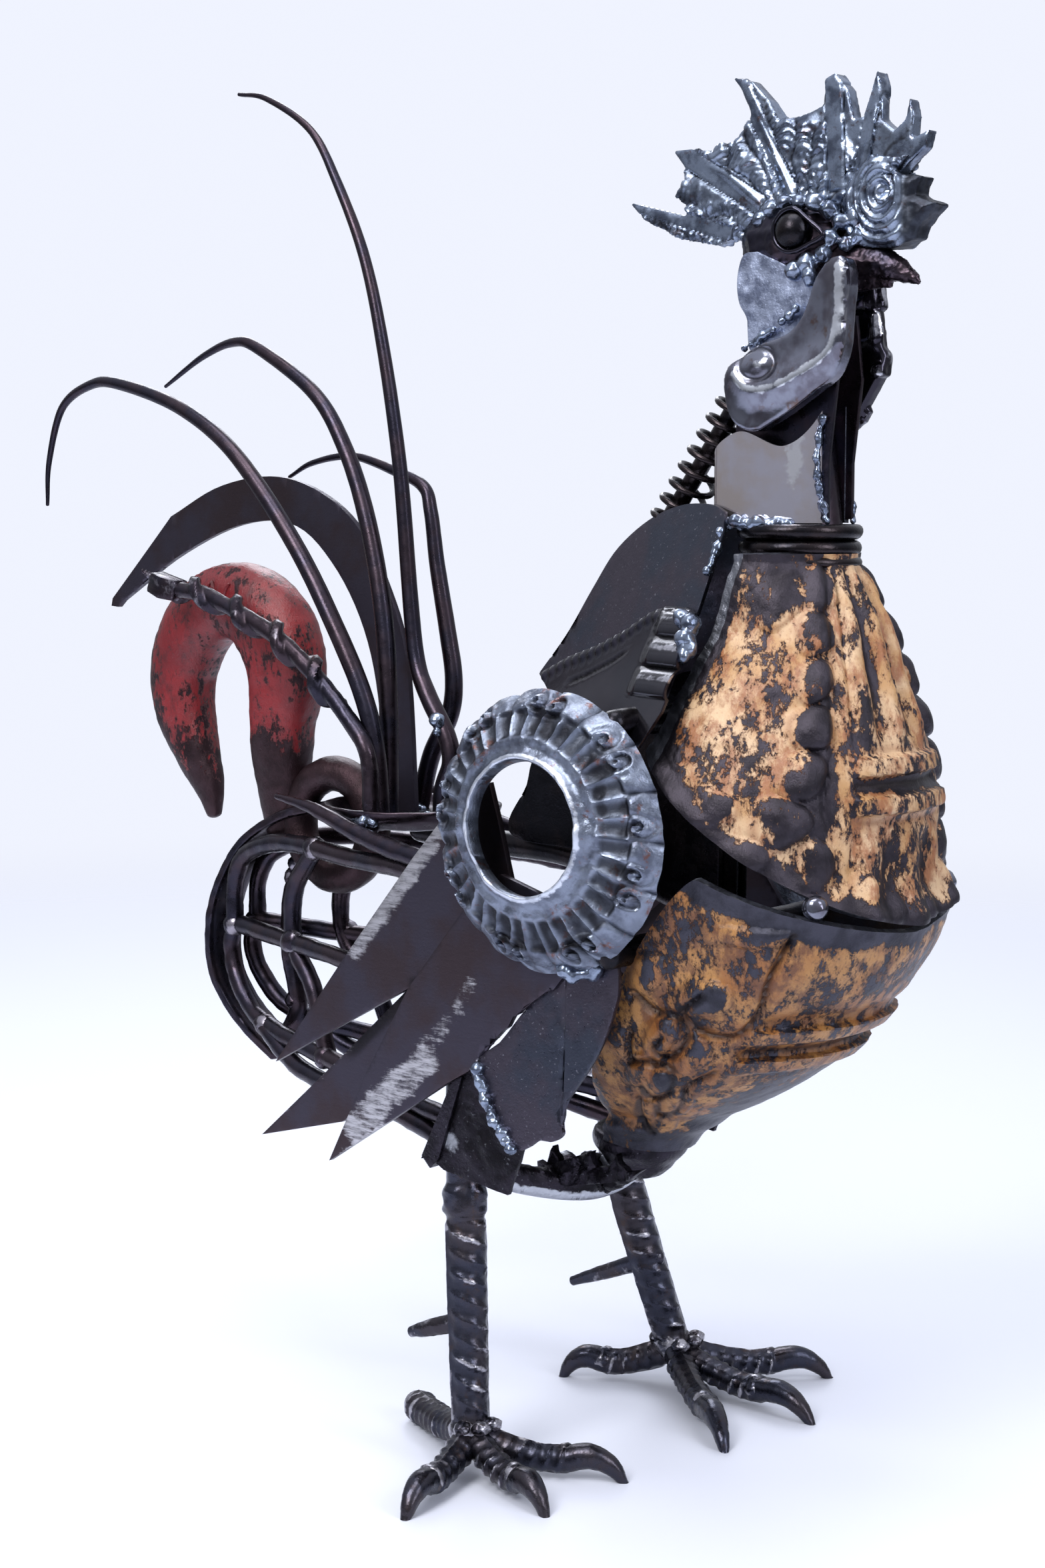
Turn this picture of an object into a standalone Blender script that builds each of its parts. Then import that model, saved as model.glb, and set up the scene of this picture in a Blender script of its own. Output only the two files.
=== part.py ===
"""A standing rooster welded together from scrap iron.

The bird faces +X with +Z up, its right side towards -Y, and it stands on the tips of its eight claws.
Outlines and routes are written in millimetres on the bird's own side plane, as (x, z) or (x, y, z).
"""
import math

import bmesh
import bpy
import numpy as np
from mathutils import Matrix, Vector
from mathutils.bvhtree import BVHTree

MM = 0.001
CENTRE_AHEAD = 3.5          # the bird's middle lies this far ahead of the point its sizes are measured from

# The whole bird. Its outlines and routes are shares of its length and height, and its feet of its width
LENGTH = 512.0              # from the tip of the longest tine to the comb's curl
WIDTH = 272.0               # across the outer claws
HEIGHT = 622.0              # from the floor to the top of the tallest tine
STRETCH = (LENGTH / 512.0, WIDTH / 272.0, HEIGHT / 622.0)   # against the sizes that it is drawn at

# Fits
WELD_GAP = 0.3              # clearance kept where one piece is welded against another
FORM_ANGLE = math.radians(9)    # faces that bend less than this against each other count as one
FLAT_ANGLE = math.radians(1.5)  # the same, once the pieces are fitted to each other

# Stock that the bird is welded from
TINE_DIAMETER = 9.5         # fork tines of the tail
FORK_ROD_DIAMETER = 9.0     # round tines of the two fork heads under the tail
LEG_BAR_DIAMETER = 16.0
FRAME_BAR_DIAMETER = 12.0
AUGER_DIAMETER = 14.0
AUGER_STEM_DIAMETER = 8.0
AUGER_WEB = 5.5             # thickness of the auger's twisted worm
SPRING_DIAMETER = 20.0
SPRING_WIRE = 3.0
SPRING_TURNS = 8
SPRING_SIDES = 6            # straight lengths that make up one turn
SPRING_SPAN = (0.17, 0.98)  # where it starts and ends along the neck, clear of the shoulder plates
NECK_ROD_DIAMETER = 10.0
SHEET = 2.4                 # cut sheet steel of the shoulders and thighs
BLADE_THICKNESS = 3.0       # wing blades
BLADE_PITCH = BLADE_THICKNESS + WELD_GAP
SICKLE_THICKNESS = 3.0
STRAP_THICKNESS = 5.0

# Breast: two halves of a cast urn, one upright and one upside down
SHELL_WALL = 3.5
SHELL_WRAP = 104.0          # degrees that the upper half reaches round from the front
MOUTH_RISE = 70.0           # how far the upper half's lower edge climbs from front to back
FLUTE_DEPTH = 1.6
FLUTES = 15.6               # flutes that would go once round the upper half
BEAD_HEIGHT = 3.0
RIVET_DIAMETER = 13.0
COLLAR_BORE = 17.0
COLLAR_RADIUS = 24.5
COLLAR_LEVEL = 406.0        # the neck collar's middle
COLLAR_HALF = 9.0           # half its height
SHELL_TOP = COLLAR_LEVEL - COLLAR_HALF - WELD_GAP

# Wing rings: pierced, domed ornamental castings
RING_RADIUS = 59.0
RING_HOLE_RADIUS = 28.0
RING_DOME = 21.0
RING_BACK = 80.0            # distance of each ring's back from the bird's middle plane
RING_WALL = 4.0
RING_STEPS = 48             # facets round each ring, two to a flute
RING_LEAN = (-0.06, 0.18)    # how far the dome leans back and up for each unit of its height
RING_CENTRE = (127.0, 288.0)

# Head
EYE_DIAMETER = 14.0
EYE_SPREAD = 15.0           # distance of each eyeball's middle from the bird's middle plane
CHEEK_FACE = 15.5           # distance of the cheek plates' outer face
WATTLE_THICKNESS = 8.0
COMB_THICKNESS = 7.0

# Feet
TOE_DIAMETER = 14.0
ANKLE_HEIGHT = 22.0
CLAW_REACH = 3.0            # how deep each claw's tip is drawn below the floor before it is cut flat

NEAR, FAR = -1, 1           # the bird's right side, then its left


def clear_scene():
    for item in list(bpy.data.objects):
        bpy.data.objects.remove(item, do_unlink=True)


clear_scene()
ROOSTER = bpy.data.collections.new("scrap_metal_rooster")
bpy.context.scene.collection.children.link(ROOSTER)
PIECES = []


def metal(name, colour, roughness, metallic):
    material = bpy.data.materials.new(name)
    material.use_nodes = True
    shader = material.node_tree.nodes["Principled BSDF"]
    shader.inputs["Base Color"].default_value = (*colour, 1.0)
    shader.inputs["Roughness"].default_value = roughness
    shader.inputs["Metallic"].default_value = metallic
    material.diffuse_color = (*colour, 1.0)
    return material


BRIGHT_STEEL = metal("polished_steel", (0.42, 0.45, 0.50), 0.25, 1.0)
DARK_STEEL = metal("dark_steel", (0.055, 0.05, 0.06), 0.38, 0.9)
BLACK_IRON = metal("black_iron", (0.02, 0.02, 0.025), 0.3, 0.9)
SHEET_STEEL = metal("sheet_steel", (0.09, 0.085, 0.11), 0.45, 0.85)
ZINC = metal("cast_zinc", (0.33, 0.37, 0.42), 0.4, 0.9)
CREAM_PAINT = metal("chipped_cream_paint", (0.62, 0.45, 0.25), 0.6, 0.1)
OCHRE_PAINT = metal("chipped_ochre_paint", (0.45, 0.26, 0.09), 0.6, 0.1)
RED_PAINT = metal("chipped_red_paint", (0.33, 0.03, 0.03), 0.45, 0.1)
REBAR = metal("ribbed_bar", (0.10, 0.09, 0.10), 0.4, 0.9)


def at(x, y, z):
    """A drawn point, in the scene's metres."""
    return Vector(((x - CENTRE_AHEAD) * STRETCH[0] * MM, y * MM, z * STRETCH[2] * MM))


def drawn(point):
    """The x and z that a point of the scene was drawn at."""
    return point.x / MM / STRETCH[0] + CENTRE_AHEAD, point.z / MM / STRETCH[2]


def smooth(points, count):
    """Evenly stepped points on a Catmull-Rom curve through the rows of points."""
    rows = np.array(points, dtype=float)
    padded = np.vstack([2 * rows[0] - rows[1], rows, 2 * rows[-1] - rows[-2]])
    found = []
    for step in range(count):
        position = step * (len(rows) - 1) / (count - 1)
        start = min(int(position), len(rows) - 2)
        t = position - start
        p0, p1, p2, p3 = padded[start:start + 4]
        found.append(0.5 * (2 * p1 + (p2 - p0) * t + (2 * p0 - 5 * p1 + 4 * p2 - p3) * t ** 2
                            + (3 * p1 - p0 - 3 * p2 + p3) * t ** 3))
    return [tuple(row) for row in found]


def add_mesh(name, mesh, material):
    mesh.name = name
    mesh.materials.clear()
    mesh.materials.append(material)
    piece = bpy.data.objects.new(name, mesh)
    ROOSTER.objects.link(piece)
    return piece


def evaluated_mesh(piece):
    """The piece's mesh with its modifiers and its placing applied."""
    bpy.context.view_layer.update()
    graph = bpy.context.evaluated_depsgraph_get()
    mesh = bpy.data.meshes.new_from_object(piece.evaluated_get(graph))
    mesh.transform(piece.matrix_world)
    return mesh


def settle(piece, material=None):
    """Turn a curve, or a mesh with modifiers, into a closed plain mesh with the same name."""
    name = piece.name
    kept = material or piece.data.materials[0]
    mesh = evaluated_mesh(piece)
    bpy.data.objects.remove(piece, do_unlink=True)
    shell = bmesh.new()
    shell.from_mesh(mesh)
    bmesh.ops.remove_doubles(shell, verts=shell.verts, dist=0.00001)
    bmesh.ops.recalc_face_normals(shell, faces=shell.faces)
    shell.to_mesh(mesh)
    shell.free()
    settled = add_mesh(name, mesh, kept)
    settled.name = name
    return settled


def merge_flats(piece, limit):
    """Drop the edges and corners inside faces that are flat within a limit."""
    shell = bmesh.new()
    shell.from_mesh(piece.data)
    bmesh.ops.dissolve_limit(shell, angle_limit=limit, verts=shell.verts, edges=shell.edges)
    bmesh.ops.triangulate(shell, faces=shell.faces)
    shell.to_mesh(piece.data)
    shell.free()


def finished(piece):
    merge_flats(piece, FORM_ANGLE)
    PIECES.append(piece)


def rod(name, route, material, sides=8):
    """A round bar along rows of (x, y, z, radius)."""
    curve = bpy.data.curves.new(name, "CURVE")
    curve.dimensions = "3D"
    curve.bevel_depth = MM
    curve.bevel_resolution = sides // 2 - 2
    curve.use_fill_caps = True
    spline = curve.splines.new("POLY")
    spline.points.add(len(route) - 1)
    for point, (x, y, z, radius) in zip(spline.points, route):
        point.co = (*at(x, y, z), 1.0)
        point.radius = radius
    curve.materials.append(material)
    piece = bpy.data.objects.new(name, curve)
    ROOSTER.objects.link(piece)
    return settle(piece)


def even_rod(name, points, diameter, material, count=0, sides=8):
    """A round bar of one diameter through points (x, y, z), smoothed where count is given."""
    route = smooth(points, count) if count else points
    return rod(name, [(*point, diameter / 2) for point in route], material, sides)


def tapered_rod(name, points, diameter, count, material, tip=0.14, full_from=0.55, sides=8):
    """A bar that runs to a point at its first end and has its full diameter from full_from on."""
    route = []
    for number, point in enumerate(smooth(points, count)):
        share = min(1.0, number / (count - 1) / full_from)
        route.append((*point, diameter / 2 * (tip + (1 - tip) * math.sin(share * math.pi / 2))))
    return rod(name, route, material, sides)


def plate(name, outline, thickness, material, y=0.0, bevel=0.0, shape=None):
    """A flat plate cut to an outline of (x, z), its middle at y, or at shape(x, z) if it leans."""
    curve = bpy.data.curves.new(name, "CURVE")
    curve.dimensions = "2D"
    curve.fill_mode = "BOTH"
    curve.extrude = thickness / 2 * MM - bevel * MM
    curve.bevel_depth = bevel * MM
    curve.bevel_resolution = 0
    curve.offset = -bevel * MM
    spline = curve.splines.new("POLY")
    spline.points.add(len(outline) - 1)
    spline.use_cyclic_u = True
    for point, (x, z) in zip(spline.points, outline):
        flat = at(x, 0, z)
        point.co = (flat.x, flat.z, 0.0, 1.0)
    curve.materials.append(material)
    piece = bpy.data.objects.new(name, curve)
    ROOSTER.objects.link(piece)
    piece.rotation_euler = (math.radians(90), 0, 0)
    piece.location = (0, y * MM, 0)
    piece = settle(piece)
    if shape:
        for vertex in piece.data.vertices:
            vertex.co.y += shape(*drawn(vertex.co)) * MM
    return piece


def sheet(name, surface, columns, rows, thickness, material, inside):
    """A bent or cast shell: surface(u, row) gives its outer face, and inside is a point behind it."""
    grid = bmesh.new()
    bmesh.ops.create_grid(grid, x_segments=columns, y_segments=len(rows) - 1, size=1.0)
    for vertex in grid.verts:
        row = round((1.0 - vertex.co.y) / 2.0 * (len(rows) - 1))
        vertex.co = at(*surface(vertex.co.x, rows[row]))
    middle = at(*inside)
    grid.normal_update()
    facing = sum(face.normal.dot(face.calc_center_median() - middle) for face in grid.faces)
    if facing < 0:
        bmesh.ops.reverse_faces(grid, faces=grid.faces)
    mesh = bpy.data.meshes.new(name)
    grid.to_mesh(mesh)
    grid.free()
    piece = add_mesh(name, mesh, material)
    wall = piece.modifiers.new("wall", "SOLIDIFY")
    wall.thickness = thickness * MM
    wall.offset = -1.0
    wall.use_even_offset = True
    return settle(piece)


def turned(name, profile, steps, centre, axis, material):
    """A profile of (radius, height), closed or run out to the axis, turned about that axis."""
    ring = bmesh.new()
    corners = [ring.verts.new((radius * MM, 0, height * MM)) for radius, height in profile]
    for first, second in zip(corners, corners[1:]):
        ring.edges.new((first, second))
    if profile[0][0] or profile[-1][0]:
        ring.edges.new((corners[-1], corners[0]))
    mesh = bpy.data.meshes.new(name)
    ring.to_mesh(mesh)
    ring.free()
    piece = add_mesh(name, mesh, material)
    screw = piece.modifiers.new("turn", "SCREW")
    screw.steps = screw.render_steps = steps
    screw.use_merge_vertices = True
    screw.merge_threshold = 0.00001
    upright = Vector(axis).to_track_quat("Z", "Y").to_matrix().to_4x4()
    piece.matrix_world = Matrix.Translation(at(*centre)) @ upright
    return settle(piece)


def ball(name, centre, radii, material, segments=12, rings=8):
    """A round or egg-shaped lump with its poles on the Z axis."""
    mesh = bpy.data.meshes.new(name)
    lump = bmesh.new()
    bmesh.ops.create_uvsphere(lump, u_segments=segments, v_segments=rings, radius=1.0)
    lump.to_mesh(mesh)
    lump.free()
    size = Matrix.Diagonal((radii[0] * MM, radii[1] * MM, radii[2] * MM, 1.0))
    mesh.transform(Matrix.Translation(at(*centre)) @ size)
    return add_mesh(name, mesh, material)


def block(name, low, high, material):
    """A square block between two corners."""
    mesh = bpy.data.meshes.new(name)
    cube = bmesh.new()
    bmesh.ops.create_cube(cube, size=1.0)
    cube.to_mesh(mesh)
    cube.free()
    low, high = at(*low), at(*high)
    size = high - low
    mesh.transform(Matrix.Translation((low + high) / 2) @ Matrix.Diagonal((*size, 1.0)))
    return add_mesh(name, mesh, material)


def boolean(piece, other, operation):
    """Join other to the piece or cut it away, and settle the result."""
    change = piece.modifiers.new("join", "BOOLEAN")
    change.operation = operation
    change.solver = "EXACT"
    change.object = other
    mesh = evaluated_mesh(piece)
    piece.modifiers.clear()
    piece.data = mesh
    bpy.data.objects.remove(other, do_unlink=True)


def joined(name, parts, material):
    """Several solids fused into one."""
    whole = parts[0]
    for part in parts[1:]:
        boolean(whole, part, "UNION")
    whole.name = name
    whole.data.materials.clear()
    whole.data.materials.append(material)
    return whole


def keep_main_body(piece):
    """Drop slivers that a cut has left loose, and keep the largest body."""
    shell = bmesh.new()
    shell.from_mesh(piece.data)
    bmesh.ops.remove_doubles(shell, verts=shell.verts, dist=0.000002)
    bmesh.ops.dissolve_degenerate(shell, edges=shell.edges, dist=0.000002)
    unseen = set(shell.verts)
    bodies = []
    while unseen:
        body = [unseen.pop()]
        for vertex in body:
            for edge in vertex.link_edges:
                other = edge.other_vert(vertex)
                if other in unseen:
                    unseen.remove(other)
                    body.append(other)
        bodies.append(body)
    bodies.sort(key=len)
    for body in bodies[:-1]:
        bmesh.ops.delete(shell, geom=body, context="VERTS")
    shell.to_mesh(piece.data)
    shell.free()


def swollen(piece, margin):
    """A copy of the piece, larger all round by a margin."""
    mesh = piece.data.copy()
    shell = bmesh.new()
    shell.from_mesh(mesh)
    shell.normal_update()
    moved = [vertex.co + vertex.normal * margin * MM * min(2.5, vertex.calc_shell_factor())
             for vertex in shell.verts]
    for vertex, place in zip(shell.verts, moved):
        vertex.co = place
    shell.to_mesh(mesh)
    shell.free()
    return add_mesh(piece.name + "_room", mesh, piece.data.materials[0])


def tree_of(piece):
    shell = bmesh.new()
    shell.from_mesh(piece.data)
    tree = BVHTree.FromBMesh(shell)
    shell.free()
    return tree


def fit_to_neighbours():
    """Each piece makes room for those finished before it, as a welder trims it to fit."""
    fitted = []
    for piece in PIECES:
        for neighbour, reach in fitted:
            if tree_of(piece).overlap(reach):
                boolean(piece, swollen(neighbour, WELD_GAP), "DIFFERENCE")
                keep_main_body(piece)
        near = swollen(piece, WELD_GAP / 3)
        fitted.append((piece, tree_of(near)))
        bpy.data.objects.remove(near, do_unlink=True)


def mirrored(piece, name):
    """The same piece for the bird's left side."""
    mesh = piece.data.copy()
    mesh.transform(Matrix.Diagonal((1, -1, 1, 1)))
    mesh.flip_normals()
    return add_mesh(name, mesh, piece.data.materials[0])


def pair(piece, name):
    """Name the piece for the right side and add its mirror image on the left."""
    left = mirrored(piece, name + "_left")
    piece.name = name + "_right"
    finished(piece)
    finished(left)


def blend(value, low, high):
    share = min(1.0, max(0.0, (value - low) / (high - low)))
    return share * share * (3 - 2 * share)


def ridge(value, centre, width):
    """A rounded bump of height 1 about a centre."""
    return math.exp(-((value - centre) / width) ** 2)


# Breast


def upper_radius(z, angle):
    front = np.interp(z, (250, 258, 267, 275, 286, 300, 320, 333, 350, 375, 400),
                      (86.5, 86, 81.5, 78.5, 76.5, 74.5, 67.5, 61.5, 53, 40, 24.5))
    shoulder = 12.0 * blend(z, 368, 405) * blend(abs(angle), 45, 95)
    return front + shoulder


def upper_relief(z, angle):
    """Flutes down the front panel, two beads across it, and a swelling border beside it."""
    side = abs(angle)
    panel = 1 - blend(side, 26, 34)
    flutes = FLUTE_DEPTH * math.cos(math.radians(angle) * FLUTES) * blend(z, 318, 345)
    beads = BEAD_HEIGHT * (ridge(z, 317, 3.5) + ridge(z, 302, 3.5))
    border = 3.0 * ridge(side, 43, 7) * (1 - blend(z, 380, 400)) * (1 + 0.5 * math.cos(z / 3.4))
    return panel * (flutes + beads) + border


def upper_surface(u, share):
    angle = u * SHELL_WRAP
    foot = 253 + MOUTH_RISE * (abs(angle) / SHELL_WRAP) ** 1.55
    z = SHELL_TOP + (foot - SHELL_TOP) * share
    radius = upper_radius(z, angle) + upper_relief(z, angle)
    middle = 167 + 26 * (z - 255) / 143
    turn = math.radians(angle)
    return middle + radius * math.cos(turn), radius * math.sin(turn), z


def breast_shell_upper():
    rows = (0, 0.16, 0.4, 0.575, 0.62, 0.67, 0.84, 1.0)
    finished(sheet("breast_shell_upper", upper_surface, 18, rows, SHELL_WALL, CREAM_PAINT, (160, 0, 330)))


def lower_surface(u, share):
    angle = u * (80 + 30 * share ** 0.6)
    turn = math.radians(angle)
    top = 250 + 24 * (abs(angle) / 80.0) ** 1.5 * (1 - share)
    bottom = 144 - 3 * math.cos(turn)
    z = top + (bottom - top) * share
    front = np.interp(z, (140, 151, 160, 168, 178, 190, 200, 212, 222, 242, 252),
                      (23, 26.5, 37.5, 48, 60, 69.5, 73.5, 78, 81, 83, 81.5))
    flank = np.interp(z, (140, 151, 178, 200, 222, 252, 275), (23, 25, 48, 60, 66, 72, 75))
    radius = front + (flank - front) * blend(abs(angle), 40, 85)
    panel = 1 - blend(abs(angle), 42, 50)
    beads = BEAD_HEIGHT * panel * (ridge(z, 205, 3.5) + ridge(z, 192, 3.5))
    scrolls = 3.0 * ridge(abs(angle), 62, 12) * ridge(z, 214, 16)
    middle = 114 + 56 * (z - 141) / 109
    radius += beads + scrolls
    return middle + radius * math.cos(turn), radius * math.sin(turn), z


def breast_shell_lower():
    rows = (0, 0.2, 0.4, 0.46, 0.53, 0.58, 0.78, 1.0)
    finished(sheet("breast_shell_lower", lower_surface, 16, rows, SHELL_WALL, OCHRE_PAINT, (130, 0, 210)))


def collar_profile(radius, bore, heights):
    """Beads of a turned collar, from the top down its outside and back up the bore."""
    profile = [(bore, heights[0]), (radius - 2, heights[0])]
    for top, bottom in zip(heights, heights[1:]):
        profile.append((radius + 2, (top + bottom) / 2))
        profile.append((radius - 2, bottom))
    profile.append((bore, heights[-1]))
    return profile


def collars():
    third = COLLAR_HALF / 3
    neck = collar_profile(COLLAR_RADIUS, COLLAR_BORE, (COLLAR_HALF, third, -third, -COLLAR_HALF))
    finished(turned("neck_collar", neck, 12, (193, 0, COLLAR_LEVEL), (0, 0, 1), BLACK_IRON))
    cup = ((0, 8), (22, 10), (26.5, 8), (26, 3), (19.5, -2), (17, -6), (10, -10), (0, -11))
    finished(turned("belly_collar", cup, 14, (111, 0, 136), (4, 0, 40), BLACK_IRON))


def breast_rivets():
    """The weld buttons that tie the two halves at the corners of the mouth."""
    turn = math.radians(36)
    axis = (math.cos(turn), -math.sin(turn), 0.3)
    full = RIVET_DIAMETER / 2
    profile = ((0, 4), (full * 0.7, 3), (full, 0.5), (full, -2), (0, -2))
    pair(turned("breast_rivet", profile, 12, (236, -49.5, 264), axis, BRIGHT_STEEL), "breast_rivet")


# Wings


def ring_profile():
    """Half of the casting cut through: radius, and height above the ring's back."""
    hole, rim = RING_HOLE_RADIUS, RING_RADIUS
    band = rim - hole
    outer = [(hole, RING_DOME), (hole + 0.2 * band, RING_DOME - 1.5), (hole + 0.7 * band, RING_DOME * 0.6), (rim, 2)]
    inner = [(rim - 3, 0), (hole, RING_DOME - 2 - RING_WALL)]
    return outer + inner


def flute_ring(piece):
    """Press radial flutes into the dome and scallops into the rim of a ring about its own axis."""
    centre = at(RING_CENTRE[0], -RING_BACK, RING_CENTRE[1])
    for vertex in piece.data.vertices:
        across = Vector((vertex.co.x - centre.x, vertex.co.z - centre.z))
        radius = across.length / MM
        angle = math.atan2(across.y, across.x)
        height = (centre.y - vertex.co.y) / MM
        on_band = ridge(radius, RING_HOLE_RADIUS + 0.7 * (RING_RADIUS - RING_HOLE_RADIUS), 9)
        if height > RING_DOME * 0.4:
            vertex.co.y -= 1.3 * MM * on_band * math.cos(angle * RING_STEPS / 2)
        if radius > RING_RADIUS - 2:
            grow = 1 + 0.02 * math.cos(angle * RING_STEPS / 4)
            vertex.co.x = centre.x + across.x * grow
            vertex.co.z = centre.z + across.y * grow
        vertex.co.x += RING_LEAN[0] * height * MM
        vertex.co.z += RING_LEAN[1] * height * MM


def wing_rings():
    centre = (RING_CENTRE[0], -RING_BACK, RING_CENTRE[1])
    ring = turned("wing_ring", ring_profile(), RING_STEPS, centre, (0, -1, 0), ZINC)
    flute_ring(ring)
    pair(ring, "wing_ring")


def from_ring(outline):
    """An outline given from the wing ring's centre, on the bird's own plane."""
    return [(RING_CENTRE[0] + x, RING_CENTRE[1] + z) for x, z in outline]


def wing_blades():
    lower_y = -(RING_BACK - WELD_GAP - BLADE_THICKNESS / 2)
    blades = {
        "wing_blade_lower": ((-132, -160), (-109, -117), (-83, -75), (-48, -34), (-30, -20), (-9, -26), (10, -52),
                             (-1, -66), (-6, -68), (-23, -80), (-32, -90), (-39, -96), (-48, -107), (-82, -128)),
        "wing_blade_upper": ((-169, -120), (-126, -68), (-83, -18), (-52, 15), (-39, 18), (-34, 2), (-29, -16),
                             (-25, -30), (-47, -56), (-86, -76)),
        "wing_blade_middle": ((-182, -157), (-129, -112), (-89, -77), (-53, -48), (-39, -74), (-54, -88),
                              (-130, -143)),
    }
    for number, (name, outline) in enumerate(blades.items()):
        pair(plate(name, from_ring(outline), BLADE_THICKNESS, SHEET_STEEL, lower_y + number * BLADE_PITCH), name)


def thigh_leaves():
    """The leaf-shaped plate behind each ring, hanging down to the leg."""
    middle = -(RING_BACK - WELD_GAP - BLADE_PITCH - SHEET / 2)
    outline = ((10, -54), (28, -51), (29, -72), (22, -89), (10, -107), (-1, -120), (4, -125), (3, -130),
               (-8, -131), (-23, -136), (-47, -107), (-31, -92), (-15, -74))
    top = RING_CENTRE[1] - 51
    leaf = plate("thigh_leaf", from_ring(outline), SHEET, SHEET_STEEL, middle,
                 shape=lambda x, z: 0.05 * (z - top))
    pair(leaf, "thigh_leaf")


def hip_plates():
    """The scorched plate over each leg's top, with its folded edge."""
    outline = ((69, 176), (78, 184), (86, 176), (107, 152), (98, 129), (61, 134), (54, 138), (48, 137), (56, 150))
    plate_middle = LEG_BAR_DIAMETER / 2 + 66 + 1.0
    hip = plate("hip_plate", outline, SHEET, BLACK_IRON, -plate_middle)
    pair(hip, "hip_plate")


def shoulder_lean(x, z):
    return -33 - 0.33 * (x - 172) + 0.39 * (z - 395)


def shoulder_plates():
    outline = ((172, 420), (162, 423), (143, 423), (122, 417), (103, 404), (92, 387), (81, 367), (67, 349),
               (98, 342), (161, 344), (165, 362), (170, 381), (172, 395), (174, 412))
    panel = plate("shoulder_plate", outline, SHEET, SHEET_STEEL, 0, shape=shoulder_lean)
    pair(panel, "shoulder_plate")


def rope_lean(x, z):
    return -232.2 - 0.4436 * x + 0.695 * z


def rope_plates():
    """A stamped strip with a roped upper edge and three round ridges at its front end."""
    outline = ((71, 349), (89, 357), (109, 363), (126, 370), (140, 378), (151, 381), (165, 381), (175, 379),
               (177, 362), (176, 346), (143, 342), (108, 343))
    parts = [plate("rope_plate", outline, SHEET, SHEET_STEEL, 0, shape=rope_lean)]
    edge = [(71, 349), (109, 363), (140, 377)]
    parts.append(even_rod("rope", [(x, rope_lean(x, z) - 1.2, z) for x, z in edge], 4.0, SHEET_STEEL, 4, 4))
    for height in (373, 362, 351):
        ends = [(x, rope_lean(x, height) - 1.5, height) for x in (152, 176)]
        parts.append(even_rod("ridge", ends, 9.0, SHEET_STEEL, 2, 6))
    pair(joined("rope_plate", parts, SHEET_STEEL), "rope_plate")


def body_frame():
    """The bars that show through the rings: two across the bird, and one back to the tail plate."""
    reach = RING_BACK - WELD_GAP
    lower = even_rod("lower", [(156, -reach, 240), (156, reach, 240)], FRAME_BAR_DIAMETER, BLACK_IRON, sides=6)
    upper = even_rod("upper", [(158, -reach, 335), (158, reach, 335)], FRAME_BAR_DIAMETER, BLACK_IRON, sides=6)
    post = even_rod("post", [(156, 0, 240), (158, 0, 335)], FRAME_BAR_DIAMETER - 1, BLACK_IRON, sides=6)
    spine = [(156, 0, 243), (120, 0, 256), (70, 0, 266), (30, 0, 268), (-20, 0, 270)]
    back = even_rod("back", spine, FRAME_BAR_DIAMETER - 0.5, BLACK_IRON, sides=6)
    finished(joined("body_frame", [lower, upper, post, back], BLACK_IRON))


# Tail


def tail_plate():
    """The shallow iron dish that carries the tail."""
    profile = ((0, 3), (30, 3), (40, 8), (43, 8), (42, 4), (33, -1), (0, -1))
    dish = turned("tail_plate", profile, 18, (-26, 0, 274), (0, 0, 1), DARK_STEEL)
    middle = at(-26, 0, 274).x
    for vertex in dish.data.vertices:
        vertex.co.x = middle + (vertex.co.x - middle) * STRETCH[0]
        vertex.co.y *= 0.95
    finished(dish)


def tines():
    routes = {
        "tine_tall": ((-133, -5, 621), (-114, -5, 617), (-85, -5, 600), (-68, -5, 575), (-50, -5, 538),
                      (-38, -5, 494), (-28, -5, 439), (-22, -5, 380), (-17, -6, 350), (-8, -8, 334),
                      (3, -8, 317), (6, -8, 304), (1, -8, 291), (0, -8, 274)),
        "tine_arched": ((-183, -10, 482), (-155, -10, 496), (-133, -10, 502), (-116, -10, 498), (-79, -10, 476),
                        (-59, -10, 450), (-44, -11, 417), (-32, -13, 373), (-27, -15, 329), (-26, -16, 274)),
        "tine_long": ((-252, -30, 423), (-250, -30, 445), (-239, -30, 472), (-217, -30, 483), (-196, -30, 483),
                      (-156, -30, 472), (-123, -30, 455), (-97, -30, 432), (-71, -30, 402), (-51, -30, 373),
                      (-31, -29, 337), (-23, -28, 309), (-20, -28, 274)),
        "tine_far": ((-141, 35, 437), (-124, 35, 444), (-97, 35, 447), (-70, 35, 440), (-50, 35, 432),
                     (-44, 34, 420), (-39, 33, 394), (-31, 31, 364), (-25, 29, 340), (-26, 27, 322),
                     (-35, 24, 303), (-42, 22, 274)),
    }
    for name, route in routes.items():
        finished(tapered_rod(name, route, TINE_DIAMETER, 16, DARK_STEEL, sides=6))


def sickle_blade():
    outer = smooth(((-202, 417), (-166, 432), (-127, 437), (-95, 430), (-68, 413), (-48, 383), (-36, 347),
                    (-31, 274)), 13)
    inner = smooth(((-51, 274), (-54, 327), (-64, 364), (-84, 394), (-111, 413), (-150, 413), (-196, 397),
                    (-239, 373)), 13)
    blade = plate("sickle_blade", [(-248, 370)] + outer + inner, SICKLE_THICKNESS, SHEET_STEEL, 10)
    finished(blade)


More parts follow.
